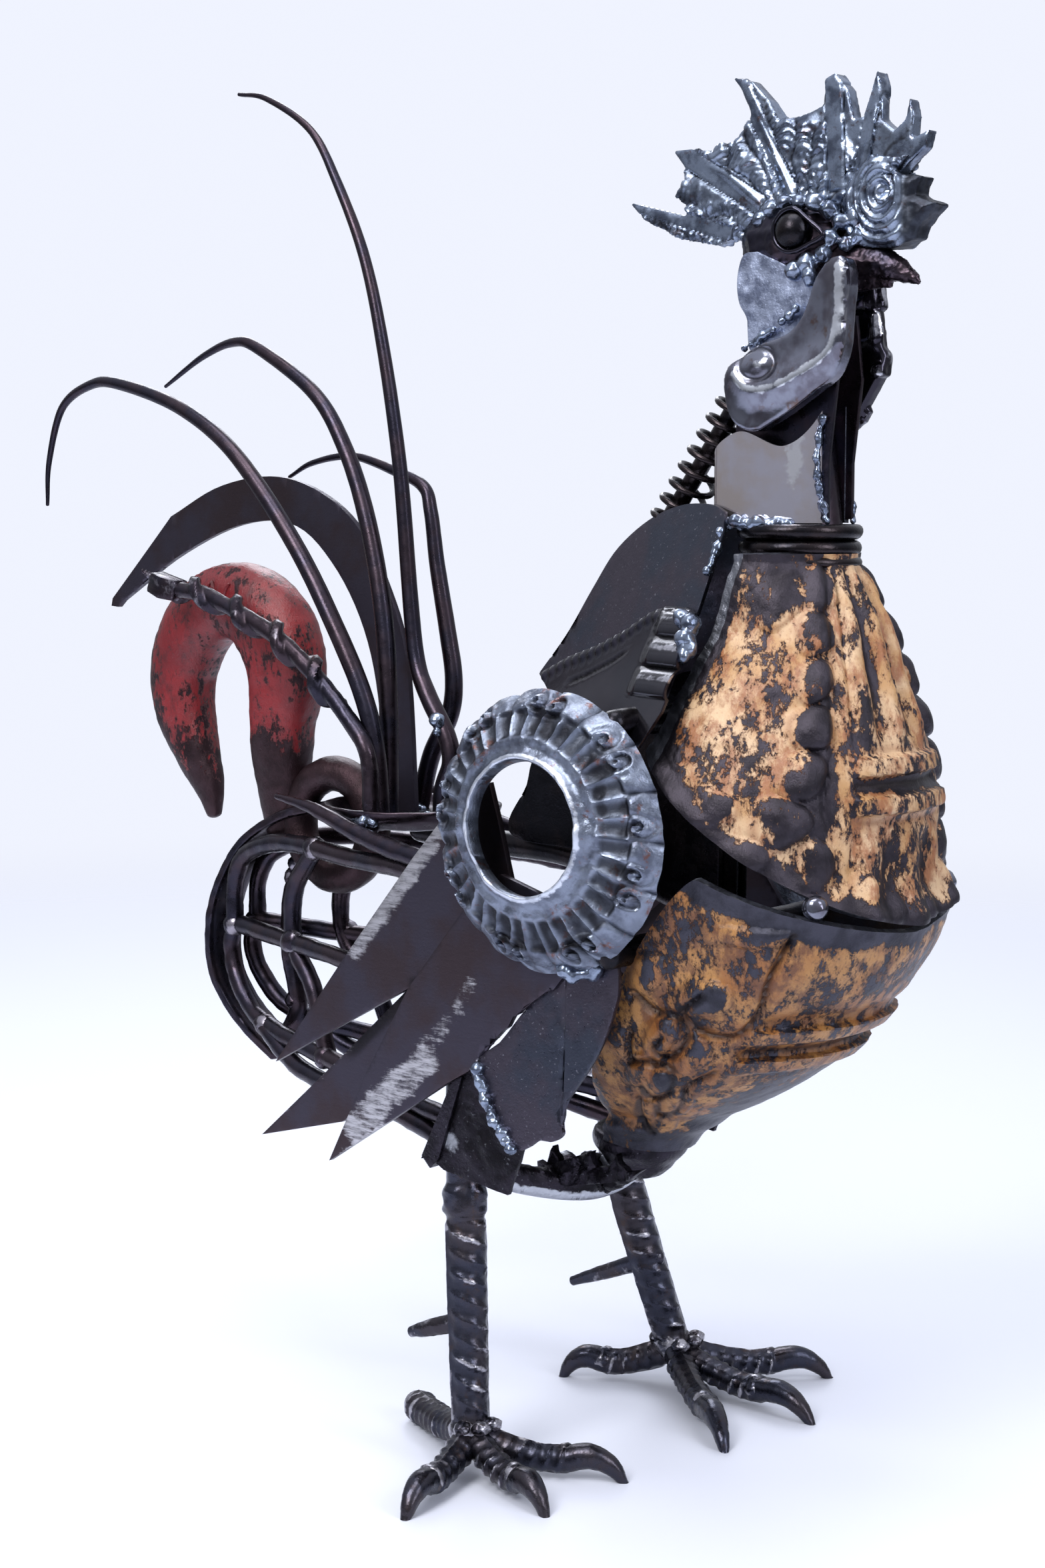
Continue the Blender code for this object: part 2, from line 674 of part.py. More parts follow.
def twisted_bar(name, line, width, thickness, turns, material):
    """A flat bar twisted about its own length, like the worm of an auger."""
    section = bpy.data.curves.new(name + "_section", "CURVE")
    section.dimensions = "2D"
    outline = section.splines.new("POLY")
    outline.points.add(3)
    outline.use_cyclic_u = True
    corners = ((width / 2, 0), (0, thickness / 2), (-width / 2, 0), (0, -thickness / 2))
    for point, (across, through) in zip(outline.points, corners):
        point.co = (across * MM, through * MM, 0.0, 1.0)
    guide = bpy.data.objects.new(name + "_section", section)
    ROOSTER.objects.link(guide)
    curve = bpy.data.curves.new(name, "CURVE")
    curve.dimensions = "3D"
    curve.bevel_mode = "OBJECT"
    curve.bevel_object = guide
    curve.use_fill_caps = True
    curve.twist_smooth = 0
    spline = curve.splines.new("POLY")
    spline.points.add(len(line) - 1)
    for number, (point, place) in enumerate(zip(spline.points, line)):
        point.co = (*at(*place), 1.0)
        point.tilt = 2 * math.pi * turns * number / (len(line) - 1)
    curve.materials.append(material)
    bar = bpy.data.objects.new(name, curve)
    ROOSTER.objects.link(bar)
    bar = settle(bar)
    bpy.data.objects.remove(guide, do_unlink=True)
    return bar


def auger_bit():
    """An old auger bit: a twisted worm on a round stem, with a square head and a screw point."""
    route = ((-162, 382), (-135, 380), (-118, 375), (-85, 362), (-58, 345), (-33, 323), (-21, 306), (-20, 274))
    line = smooth([(x, -35 - 0.02 * (x + 24), z) for x, z in route], 51)
    worm = twisted_bar("auger_bit", line[:34], AUGER_DIAMETER, AUGER_WEB, 2.5, DARK_STEEL)
    stem = even_rod("stem", line[31:], AUGER_STEM_DIAMETER, DARK_STEEL, 7, 6)
    head = ball("head", (-163, -32.5, 383.5), (7, 6, 6), DARK_STEEL, 6, 4)
    point = rod("point", [(-160, -32.5, 383, 2.6), (-172, -32, 388, 1.6), (-178, -32, 390.5, 0.5)], DARK_STEEL, 6)
    finished(joined("auger_bit", [worm, stem, head, point], DARK_STEEL))


def crane_hook():
    """A heavy forged hook on an eye."""
    line = ((-163, 0, 267, 5), (-166, 0, 280, 10), (-175, 0, 298, 15), (-183, 0, 318, 18), (-183, 0, 340, 19),
            (-173, 0, 360, 19), (-158, 0, 372, 19), (-141, 0, 375, 19.5), (-125, 0, 369, 21),
            (-113, 0, 355, 21.5), (-109, 0, 338, 20), (-112, 0, 318, 17.5), (-113, 0, 298, 15.5),
            (-112, 0, 280, 13), (-110, 0, 264, 11))
    body = rod("crane_hook", smooth(line, 17), RED_PAINT, 8)
    for vertex in body.data.vertices:
        vertex.co.y *= 0.8
    eye = [(25 + 8.5 * math.cos(turn), 8.5 * math.sin(turn)) for turn in np.linspace(0, -2 * math.pi, 7)[:-1]]
    ring = turned("eye", eye, 14, (-76, 0, 268), (0, -1, 0), RED_PAINT)
    finished(joined("crane_hook", [body, ring], RED_PAINT))


def fork_lean(x):
    """How far out the right fork head stands at x: close in at the back, wide at the hips."""
    return -9 - 0.22 * (x + 135)


def cage_tine(name, route, count, inward):
    """One round tine of a fork head, set a little in or out of the head's leaning plane."""
    points = [(x, fork_lean(x) + inward, z) for x, z in route]
    return even_rod(name, points, FORK_ROD_DIAMETER, DARK_STEEL, count, 6)


def fork_cages():
    """A fork head on each side, its round tines bent into the bird's rump."""
    loop = ((30, 255), (3, 258), (-35, 258), (-81, 260), (-110, 257), (-131, 248), (-139, 234), (-140, 215),
            (-143, 202), (-138, 187), (-124, 172), (-102, 165), (-73, 161), (-30, 156), (20, 150), (64, 146))
    middle = ((-141, 214), (-106, 212), (-49, 209), (20, 203), (60, 196))
    low = ((-114, 167), (-82, 151), (-40, 146), (9, 143), (62, 132))
    rib = ((-68, 260), (-86, 240), (-90, 222), (-86, 206), (-72, 190), (-60, 159))
    stay = ((57, 199), (62, 170), (64, 130))
    parts = [cage_tine("loop", loop, 16, 0.0)]
    parts.append(cage_tine("middle", middle, 5, 1.3))
    parts.append(cage_tine("low", low, 5, -1.1))
    parts.append(cage_tine("rib", rib, 6, 2.1))
    parts.append(cage_tine("stay", stay, 3, -2.3))
    pair(joined("fork_cage", parts, DARK_STEEL), "fork_cage")


def side_spikes():
    """A pointed tine along each side of the tail plate."""
    route = ((-72, -44, 286), (-49, -44, 282), (-18, -44, 272), (8, -44, 266), (40, -46, 262), (80, -58, 262))
    spike = tapered_rod("side_spike", route, FORK_ROD_DIAMETER, 10, DARK_STEEL, tip=0.3, sides=6)
    pair(spike, "side_spike")


def rear_band():
    """The curved strap round the back of the rump."""
    middle = smooth(((-84, 279), (-104, 274), (-123, 265), (-139, 253), (-153, 232), (-159, 213), (-158, 190),
                     (-148, 173), (-130, 158), (-113, 148)), 13)
    band = []
    for number, (x, z) in enumerate(middle):
        before, after = middle[max(0, number - 1)], middle[min(len(middle) - 1, number + 1)]
        along = Vector((after[0] - before[0], after[1] - before[1])).normalized()
        band.append(((x, z), (x - along.y * STRAP_THICKNESS, z + along.x * STRAP_THICKNESS)))
    outline = [outer for outer, inner in band] + [inner for outer, inner in reversed(band)]
    finished(plate("rear_band", outline, 22, DARK_STEEL, 0))


def rear_strut():
    """The bar that ties the hook's eye to the rump's lower end."""
    route = ((-96, 0, 250), (-106, 0, 234), (-109, 0, 215), (-108, 0, 198), (-103, 0, 175), (-112, 0, 158))
    finished(even_rod("rear_strut", route, 9.0, DARK_STEEL, 7, 6))


# Legs


FEET = (
    ("right", NEAR, (74, -73), ((10, -38), (132, -92), (134, -40), (89, -132))),
    ("left", FAR, (71, 80), ((25, 51), (146, 18), (126, 133), (156, 73))),
)


def toe(ankle, contact):
    """One ribbed toe that arches to a heavy hooked claw."""
    across = Vector((contact[0] - ankle[0], contact[1] * STRETCH[1] - ankle[1]))
    full = TOE_DIAMETER / 2
    shares = ((0.0, 0.8, 1.05), (0.2, 0.56, 1.0), (0.45, 0.4, 0.95), (0.68, 0.42, 0.95), (0.8, 0.52, 1.1),
              (0.9, 0.42, 1.05), (0.97, 0.2, 0.85), (1.0, -CLAW_REACH / ANKLE_HEIGHT, 0.5))
    route = [(ankle[0] + across.x * share, ankle[1] + across.y * share, ANKLE_HEIGHT * rise, full * size)
             for share, rise, size in shares]
    return rod("toe", route, REBAR, 6)


def feet():
    for name, side, ankle, contacts in FEET:
        boss = ball("boss", (*ankle, ANKLE_HEIGHT - 3), (11, 11, 10), REBAR, 8, 6)
        foot = joined("foot_" + name, [boss] + [toe(ankle, contact) for contact in contacts], REBAR)
        floor = block("floor", (-200, -200, -60), (300, 200, 0), REBAR)
        boolean(foot, floor, "DIFFERENCE")
        keep_main_body(foot)
        finished(foot)


def legs():
    tops = (("right", (63, -66, 190), (66, -67, 110), (74, -73), (57, -69, 62), (37, -71, 55)),
            ("left", (42, 64, 150), (52, 65, 100), (71, 80), (60, 72, 60), (13, 74, 40)))
    radius = LEG_BAR_DIAMETER / 2
    for name, top, knee, ankle, spur_root, spur_tip in tops:
        line = [(*top, radius * 0.8), (*knee, radius * 1.1), (*ankle, ANKLE_HEIGHT - 4, radius)]
        bar = rod("leg", smooth(line, 6), REBAR, 8)
        root = Vector(spur_root)
        inside = root + (root - Vector(spur_tip)).normalized() * 12
        spur = rod("spur", [(*inside, 4.2), (*root, 4.0), (*spur_tip, 1.8)], REBAR, 6)
        finished(joined("leg_" + name, [bar, spur], REBAR))


def belly_frame():
    """The bars across the belly that tie both legs to the lower collar."""
    cross = ((66, -62, 135), (77, -40, 125), (87, -8, 118), (78, 34, 117), (55, 60, 120))
    across = even_rod("across", cross, FRAME_BAR_DIAMETER, BLACK_IRON, 6, 6)
    ahead = ((84, 0, 116), (98, 0, 123), (112, 0, 132))
    forward = even_rod("forward", ahead, FRAME_BAR_DIAMETER - 0.6, BLACK_IRON, sides=6)
    finished(joined("belly_frame", [across, forward], BLACK_IRON))


# Head and neck


def eyes():
    for name, side in (("right", NEAR), ("left", FAR)):
        centre = (199, side * EYE_SPREAD, 533)
        radius = EYE_DIAMETER / 2
        finished(ball("eye_" + name, centre, (radius, radius, radius), BLACK_IRON, 8, 6))


def eye_rims():
    """The bright drop-shaped socket round each eye."""
    path = []
    for turn in np.linspace(0, 2 * math.pi, 13)[:-1]:
        reach = 12.5 if math.cos(turn) > 0.6 else 9.0
        path.append((199 + reach * math.cos(turn), -EYE_SPREAD - 2.0, 533 + 9.0 * math.sin(turn) - 0.12 * reach))
    curve = bpy.data.curves.new("eye_rim", "CURVE")
    curve.dimensions = "3D"
    curve.bevel_depth = 1.6 * MM
    curve.bevel_resolution = 0
    spline = curve.splines.new("POLY")
    spline.points.add(len(path) - 1)
    spline.use_cyclic_u = True
    for point, place in zip(spline.points, path):
        point.co = (*at(*place), 1.0)
    curve.materials.append(BRIGHT_STEEL)
    rim = bpy.data.objects.new("eye_rim", curve)
    ROOSTER.objects.link(rim)
    pair(settle(rim), "eye_rim")


def skull():
    lump = ball("skull", (190, 0, 530), (26, 17, 17), DARK_STEEL, 10, 7)
    jaw = ball("jaw", (196, 0, 512), (17, 12, 17), DARK_STEEL, 8, 5)
    finished(joined("skull", [lump, jaw], DARK_STEEL))


def beak():
    upper = rod("beak", smooth(((206, 0, 520, 9), (222, 0, 521, 8.5), (236, 0, 518, 6.0), (246, 0, 513, 2.6),
                                (249, 0, 510.5, 0.8)), 6), DARK_STEEL, 8)
    lower = rod("lower", [(208, 0, 514, 6.5), (224, 0, 512.5, 5), (236, 0, 511.5, 2)], DARK_STEEL, 6)
    finished(joined("beak", [upper, lower], DARK_STEEL))


def cheek_plates():
    outline = ((180, 527), (173, 524), (171, 514), (173, 502), (176, 494), (178, 487), (200, 494), (209, 512),
               (198, 518))
    pair(plate("cheek_plate", outline, SHEET, ZINC, -CHEEK_FACE + SHEET / 2), "cheek_plate")


def wattles():
    """Two heavy hooked castings that hang from the cheeks, unlike each other."""
    outline = smooth(((227, 521), (231, 515), (231, 504), (228, 485), (221, 471), (204, 465), (187, 460),
                      (177, 461), (171, 467), (172, 475), (179, 483), (191, 489), (204, 494), (211, 503),
                      (214, 514), (219, 520), (227, 521)), 21)[:-1]
    middle = CHEEK_FACE + WELD_GAP + WATTLE_THICKNESS / 2
    body = plate("wattle_right", outline, WATTLE_THICKNESS, BRIGHT_STEEL, -middle, bevel=2.0)
    knob = ball("knob", (185, -middle - WATTLE_THICKNESS / 2, 475), (7, 3, 5), BRIGHT_STEEL, 8, 6)
    finished(joined("wattle_right", [body, knob], BRIGHT_STEEL))
    far = ((206, 516), (217, 513), (219, 494), (222, 477), (214, 463), (200, 444), (190, 454), (184, 470),
           (186, 490), (194, 508))
    finished(plate("wattle_left", far, WATTLE_THICKNESS, DARK_STEEL, middle, bevel=1.5))


def comb():
    """A fan of ground prongs with webs of weld metal between them."""
    outline = ((163, 532), (151, 532), (135, 535), (114, 544), (106, 552), (123, 548), (136, 544), (137, 549),
               (130, 553), (136, 559), (135, 565), (129, 572), (139, 572), (149, 569), (154, 573), (161, 572),
               (169, 583), (168, 590), (160, 599), (169, 597), (178, 588), (183, 579), (193, 580), (204, 584),
               (205, 594), (210, 596), (216, 589), (219, 577), (224, 578), (227, 586), (230, 595), (232, 589),
               (232, 576), (238, 571), (243, 575), (245, 584), (247, 576), (246, 567), (254, 570), (252, 563),
               (244, 557), (234, 546), (214, 538), (190, 536))
    parts = [plate("comb", outline, COMB_THICKNESS, BRIGHT_STEEL, 0)]
    prongs = (((178, 544), (158, 560), (132, 571), 5.5, 0.4), ((192, 546), (179, 574), (163, 598), 4.6, -0.7),
              ((212, 546), (212, 574), (209, 594), 5.5, 0.6), ((222, 552), (229, 574), (230, 592), 4.2, -0.5))
    for first, middle, last, radius, aside in prongs:
        route = [(*first, radius), (*middle, radius), (*last, 2.2)]
        parts.append(rod("prong", [(x, aside, z, size) for x, z, size in route], BRIGHT_STEEL, 6))
    finished(joined("comb", parts, BRIGHT_STEEL))


def comb_front_curl():
    """A toothed curl of casting in front of the comb, over the beak."""
    outline = ((229, 562), (238, 560), (247, 561), (240, 554), (252, 552), (249, 545), (259, 541), (251, 533),
               (249, 528), (242, 525), (228, 525), (218, 530), (216, 545), (222, 556))
    curl = plate("comb_front_curl", outline, 15, BRIGHT_STEEL, 0, bevel=2.5)
    finished(curl)


def cowl_surface(u, share):
    run = (u + 1) / 2
    stops = (0, 0.25, 0.45, 0.7, 1)
    x = np.interp(run, stops, (158, 158, 164, 177, 188 + 13 * share))
    y = np.interp(run, stops, (1, 11, 18, 20.5, 17))
    top = np.interp(run, stops, (438, 440, 446, 454, 446))
    return x, -y, top + (415.5 - top) * share


def neck_cowl():
    """Polished sheet bent round the neck from the middle of the back, open at the front."""
    right = sheet("neck_cowl", cowl_surface, 9, (0, 0.5, 1), SHEET * 0.8, BRIGHT_STEEL, (188, 0, 430))
    pair(right, "neck_cowl")


def throat_strip():
    """The dark strap down the front of the neck, from jaw to collar."""
    def surface(u, share):
        z = 512 - 97 * share
        x = np.interp(z, (415, 445, 460, 482, 512), (208, 204, 202, 207, 207))
        return x + 4 * (1 - u * u), u * 9, z
    finished(sheet("throat_strip", surface, 3, (0, 0.3, 0.55, 0.75, 1), SHEET, DARK_STEEL, (180, 0, 460)))


def spring_axis(share):
    return Vector((122, 0, 412)).lerp(Vector((163, 0, 469)), share)


def neck_rod_and_spring():
    """The dark bar up the back of the neck, inside a coil spring."""
    route = ((116, 0, 404), (122, 0, 412), (163, 0, 469), (180, 0, 500), (188, 0, 512))
    finished(even_rod("neck_rod", route, NECK_ROD_DIAMETER, BLACK_IRON))
    along = (spring_axis(1) - spring_axis(0)).normalized()
    side = Vector((0, 1, 0))
    up = along.cross(side)
    radius = (SPRING_DIAMETER - SPRING_WIRE) / 2
    inside = radius * math.cos(math.pi / SPRING_SIDES) - SPRING_WIRE / 2
    slack = inside - NECK_ROD_DIAMETER / 2 - 1.5 * WELD_GAP
    turns = []
    steps = SPRING_TURNS * SPRING_SIDES
    for step in range(steps + 1):
        turn = 2 * math.pi * step / SPRING_SIDES
        share = SPRING_SPAN[0] + (SPRING_SPAN[1] - SPRING_SPAN[0]) * step / steps
        centre = spring_axis(share) - up * slack
        turns.append((*(centre + radius * (math.cos(turn) * side + math.sin(turn) * up)), SPRING_WIRE / 2))
    finished(rod("neck_spring", turns, BLACK_IRON, 4))


def build_rooster():
    collars()
    breast_shell_upper()
    breast_shell_lower()
    breast_rivets()
    wing_rings()
    wing_blades()
    thigh_leaves()
    hip_plates()
    feet()
    legs()
    shoulder_plates()
    rope_plates()
    crane_hook()
    tail_plate()
    tines()
    sickle_blade()
    auger_bit()
    side_spikes()
    fork_cages()
    rear_band()
    rear_strut()
    belly_frame()
    body_frame()
    eyes()
    eye_rims()
    skull()
    beak()
    wattles()
    cheek_plates()
    comb()
    comb_front_curl()
    neck_cowl()
    throat_strip()
    neck_rod_and_spring()
    fit_to_neighbours()
    stand = bpy.data.objects.new("standing_point", None)
    ROOSTER.objects.link(stand)
    for piece in PIECES:
        merge_flats(piece, FLAT_ANGLE)
        piece.parent = stand
        piece.data.shade_smooth()
        piece.data.set_sharp_from_angle(angle=math.radians(35))


build_rooster()
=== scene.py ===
"""The looks of a rooster welded from scrap iron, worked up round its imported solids.

Outlines and routes are in millimetres in the bird's own side plane, as (x, z) or (x, y, z).
"""

import itertools
import math

import bmesh
import bpy
import numpy as np
from mathutils import Matrix, Vector


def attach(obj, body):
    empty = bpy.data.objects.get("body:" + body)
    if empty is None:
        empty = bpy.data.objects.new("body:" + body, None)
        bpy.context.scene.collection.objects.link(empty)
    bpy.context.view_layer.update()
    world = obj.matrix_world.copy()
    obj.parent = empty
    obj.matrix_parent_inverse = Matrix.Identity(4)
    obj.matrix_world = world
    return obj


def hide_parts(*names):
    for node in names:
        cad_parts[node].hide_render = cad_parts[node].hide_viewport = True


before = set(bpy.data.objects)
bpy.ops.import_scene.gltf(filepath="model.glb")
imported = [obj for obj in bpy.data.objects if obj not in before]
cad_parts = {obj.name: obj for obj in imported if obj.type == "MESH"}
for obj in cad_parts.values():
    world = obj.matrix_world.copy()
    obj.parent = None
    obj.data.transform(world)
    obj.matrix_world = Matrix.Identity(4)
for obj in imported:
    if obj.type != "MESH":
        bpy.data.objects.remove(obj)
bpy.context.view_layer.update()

MM = 0.001
CENTRE_AHEAD = 3.5
RING_CENTRE = (127.0, 288.0)
RING_HOLE, RING_RIM = 28.0, 59.0
RING_BACK = 80.0
RING_LEAN = (-0.06, 0.18)
SHELL_WRAP = 104.0
SHELL_WALL = 3.5
WELD_GAP = 0.3
SHEET, BLADE = 2.4, 3.0
BLADE_PITCH = BLADE + WELD_GAP
SPRING_TURNS = 8
CAP_TURNS = (86, 66, 42, 20)
LAMP_TARGET = (0.0, 0.0, 0.31)


# Numbers


def blend(value, low, high):
    share = np.clip((value - low) / (high - low), 0, 1)
    return share * share * (3 - 2 * share)


def ridge(value, centre, width):
    return np.exp(-((value - centre) / width) ** 2)


def dome(across, up):
    """A round-topped lump over the unit circle."""
    return np.sqrt(np.clip(1 - across ** 2 - up ** 2, 0, 1))


def through(value, knots, heights):
    """A smooth curve through the heights at the knots."""
    knots, heights = np.array(knots, float), np.array(heights, float)
    slopes = np.gradient(heights, knots)
    value = np.clip(value, knots[0], knots[-1])
    low = np.clip(np.searchsorted(knots, value) - 1, 0, len(knots) - 2)
    span = knots[low + 1] - knots[low]
    t = (value - knots[low]) / span
    start = (2 * t ** 3 - 3 * t ** 2 + 1) * heights[low] + (t ** 3 - 2 * t ** 2 + t) * span * slopes[low]
    return start + (3 * t ** 2 - 2 * t ** 3) * heights[low + 1] + (t ** 3 - t ** 2) * span * slopes[low + 1]


def noise(points, size, seed=0):
    """Smooth random values from -1 to 1 at points, about one bump for each size in millimetres."""
    cell = np.asarray(points, float) / size + 31.7 * seed
    low = np.floor(cell).astype(np.int64)
    t = cell - low
    t = t * t * (3 - 2 * t)
    total = 0.0
    for corner in itertools.product((0, 1), repeat=3):
        key = ((low + corner) * (73856093, 19349663, 83492791)).sum(axis=-1)
        key = (key ^ (key >> 13)) * 1274126177
        value = ((key ^ (key >> 16)) & 0xFFFF) / 32767.5 - 1
        total = total + value * np.prod(np.where(corner, t, 1 - t), axis=-1)
    return total


def rough(points, size, seed=0):
    """Noise with two finer layers on it."""
    return (noise(points, size, seed) + 0.5 * noise(points, size / 2.1, seed + 1)
            + 0.25 * noise(points, size / 4.3, seed + 2))


def smooth(points, count):
    """Evenly stepped points on a Catmull-Rom curve through the rows of points."""
    rows = np.array(points, float)
    padded = np.vstack([2 * rows[0] - rows[1], rows, 2 * rows[-1] - rows[-2]])
    place = np.linspace(0, len(rows) - 1, count)
    start = np.minimum(place.astype(int), len(rows) - 2)
    t = (place - start)[:, None]
    p0, p1, p2, p3 = (padded[start + step] for step in range(4))
    return 0.5 * (2 * p1 + (p2 - p0) * t + (2 * p0 - 5 * p1 + 4 * p2 - p3) * t ** 2
                  + (3 * p1 - p0 - 3 * p2 + p3) * t ** 3)


# Forms


class Form:
    """Points in millimetres with the faces between them, and how worn and how dirty each point is; on some
    pieces the wear also holds painted highlights and the dirt painted shade.
    """

    def __init__(self, points, faces, wear_and_highlight=0.0, dirt_and_shade=0.0, finish=0):
        self.points = np.array(points, float).reshape(-1, 3)
        self.faces = list(faces)
        self.wear_and_highlight = (np.zeros(len(self.points)) + np.ravel(wear_and_highlight))
        self.dirt_and_shade = (np.zeros(len(self.points)) + np.ravel(dirt_and_shade))
        self.finish = np.zeros(len(self.faces), int) + finish

    def __add__(self, other):
        count = len(self.points)
        faces = self.faces + [[corner + count for corner in face] for face in other.faces]
        return Form(np.vstack([self.points, other.points]), faces, np.concatenate([self.wear_and_highlight, other.wear_and_highlight]),
                    np.concatenate([self.dirt_and_shade, other.dirt_and_shade]), np.concatenate([self.finish, other.finish]))

    def redrawn(self, points, faces):
        return Form(points, faces, self.wear_and_highlight, self.dirt_and_shade, self.finish)

    def mirrored(self):
        return self.redrawn(self.points * (1, -1, 1), [face[::-1] for face in self.faces])

    def placed(self, matrix):
        points = self.points @ np.array(matrix.to_3x3()).T + np.array(matrix.translation)
        return self.redrawn(points, self.faces)


def total(forms):
    whole = forms[0]
    for form in forms[1:]:
        whole = whole + form
    return whole


def grid_faces(rows, columns, wrap_rows=False, wrap_columns=False):
    down = np.arange(rows if wrap_rows else rows - 1)[:, None]
    right = np.arange(columns if wrap_columns else columns - 1)[None, :]
    below, beside = (down + 1) % rows, (right + 1) % columns
    corners = [row * columns + column for row, column in
               ((down, right), (down, beside), (below, beside), (below, right))]
    return np.stack(np.broadcast_arrays(*corners), -1).reshape(-1, 4).tolist()


def carried(along, start):
    """The direction start, kept square to each row of along and carried down it without a twist."""
    side = np.array(start, float)
    across = []
    for direction in along:
        side = side - direction * (side @ direction)
        side = side / np.linalg.norm(side)
        across.append(side)
    return np.array(across)


def joined(rows, more, first):
    return np.concatenate([more, rows] if first else [rows, more])


def capped(places, along, across, radii, length, reaches):
    """The rows of a bar with rings that round off its two ends, and how far each row shrinks for that."""
    turns = np.radians(CAP_TURNS)
    fade = np.ones(len(places))
    for end, first in ((0, True), (-1, False)):
        order = turns if first else turns[::-1]
        reach = (-1 if first else 1) * radii[end] * reaches[end]
        caps = places[end] + along[end] * (reach * np.sin(order))[:, None]
        places = joined(places, caps, first)
        across = joined(across, np.tile(across[end], (len(turns), 1)), first)
        along = joined(along, np.tile(along[end], (len(turns), 1)), first)
        radii = joined(radii, np.full(len(turns), radii[end]), first)
        length = joined(length, np.full(len(turns), length[end]), first)
        fade = joined(fade, np.cos(order), first)
    return places, along, across, radii, length, fade


def bar(route, sides=16, skin=None, ends=(1.0, 1.0), flat=(1.0, 1.0), square=2.0, start=(0, 1, 0),
        loop=False):
    """A bar along rows of (x, y, z, radius); skin(points, length, angle) gives its relief, wear and dirt.

    ends are how far each end is rounded, flat scales its two widths, and square runs from 2, round, to 10.
    """
    route = np.asarray(route, float)
    places, radii = route[:, :3], route[:, 3]
    along = np.gradient(places, axis=0)
    along /= np.linalg.norm(along, axis=1)[:, None]
    across = carried(along, start)
    length = np.concatenate([[0], np.cumsum(np.linalg.norm(np.diff(places, axis=0), axis=1))])
    fade = np.ones(len(route))
    if not loop:
        reaches = [end * min(flat) for end in ends]
        places, along, across, radii, length, fade = capped(places, along, across, radii, length, reaches)
    up = np.cross(along, across)
    angle = np.linspace(0, 2 * math.pi, sides, endpoint=False)
    section = (np.abs(np.cos(angle)) ** square + np.abs(np.sin(angle)) ** square) ** (-1 / square)
    outward = (np.cos(angle)[None, :, None] * across[:, None, :] * flat[0]
               + np.sin(angle)[None, :, None] * up[:, None, :] * flat[1])
    size = (radii * fade)[:, None] * section[None, :]
    points = places[:, None, :] + outward * size[..., None]
    wear_and_highlight = dirt_and_shade = np.zeros(size.shape)
    if skin:
        height, wear_and_highlight, dirt_and_shade = skin(points, length[:, None], angle[None, :])
        lift = outward / np.maximum(np.linalg.norm(outward, axis=-1, keepdims=True), 0.001)
        points = points + lift * (np.zeros(size.shape) + height)[..., None] * fade[:, None, None]
    faces = grid_faces(len(places), sides, wrap_rows=loop, wrap_columns=True)
    if not loop:
        faces += [list(range(sides))[::-1], list(range((len(places) - 1) * sides, len(places) * sides))]
    blank = np.zeros(size.shape)
    return Form(points, faces, blank + wear_and_highlight, blank + dirt_and_shade)


def shell(surface, columns, rows, wall, inside, trim=1.1):
    """A cast wall whose outer face is surface(u, share, plain), with plain true for the face without relief.

    Finish 0 is its outer face, 1 its cut edge and 2 its inner face. Past trim, from the middle to the sides,
    the outer face belongs to the cut edge.
    """
    u, share = np.linspace(-1, 1, columns)[None, :], np.linspace(0, 1, rows)[:, None]
    outer, wear_and_highlight, dirt_and_shade = surface(u, share, False)
    plain = surface(u, share, True)[0]
    normal = np.cross(np.gradient(plain, axis=0), np.gradient(plain, axis=1))
    normal /= np.maximum(np.linalg.norm(normal, axis=-1, keepdims=True), 1e-9)
    facing = np.sum(normal * (plain - inside))
    inner = plain - normal * math.copysign(wall, facing)
    count = rows * columns
    faces = grid_faces(rows, columns)
    back = [[corner + count for corner in face[::-1]] for face in faces]
    edge = list(range(columns)) + [row * columns + columns - 1 for row in range(1, rows)]
    edge += [(rows - 1) * columns + column for column in range(columns - 2, -1, -1)]
    edge += [row * columns for row in range(rows - 2, 0, -1)]
    rim = [[a, b, b + count, a + count] for a, b in zip(edge, edge[1:] + edge[:1])]
    cut = np.abs(np.linspace(-1, 1, columns)[1:] - 1 / (columns - 1)) > trim
    finish = np.concatenate([np.tile(cut.astype(int), rows - 1), np.repeat([2, 1], [len(back), len(rim)])])
    blank = np.zeros((rows, columns))
    marks = [np.concatenate([np.ravel(mark + blank), np.ravel(blank)]) for mark in (wear_and_highlight, dirt_and_shade)]
    points = np.concatenate([outer.reshape(-1, 3), inner.reshape(-1, 3)])
    return Form(points, faces + back + rim, *marks, finish)


def half_profile(points, count):
    """A smooth profile of (radius, height) that doesn't cross its axis."""
    profile = smooth(points, count)
    profile[:, 0] = np.maximum(profile[:, 0], 0)
    return profile


def thick(line, radius):
    """A line of places as the route of a bar that has one radius."""
    return np.column_stack([line, np.full(len(line), float(radius))])


def in_plane(x, z):
    return np.stack([x, 0 * x, z], -1)


def turned(profile, steps, centre, axis, wrap=True, relief=None):
    """A profile of (radius, height) turned about an axis through centre."""
    profile = np.array(profile, float)
    angle = np.linspace(0, 2 * math.pi, steps, endpoint=False)[None, :]
    radius, height = profile[:, :1] + 0 * angle, profile[:, 1:] + 0 * angle
    wear_and_highlight = dirt_and_shade = 0 * radius
    if relief:
        radius, height, wear_and_highlight, dirt_and_shade = relief(radius, height, angle)
    points = np.stack([radius * np.cos(angle), radius * np.sin(angle), height], -1)
    form = Form(points, grid_faces(len(profile), steps, wrap, True), wear_and_highlight + 0 * radius, dirt_and_shade + 0 * radius)
    turn = Vector(axis).to_track_quat("Z", "Y").to_matrix().to_4x4()
    return form.placed(Matrix.Translation(centre) @ turn)


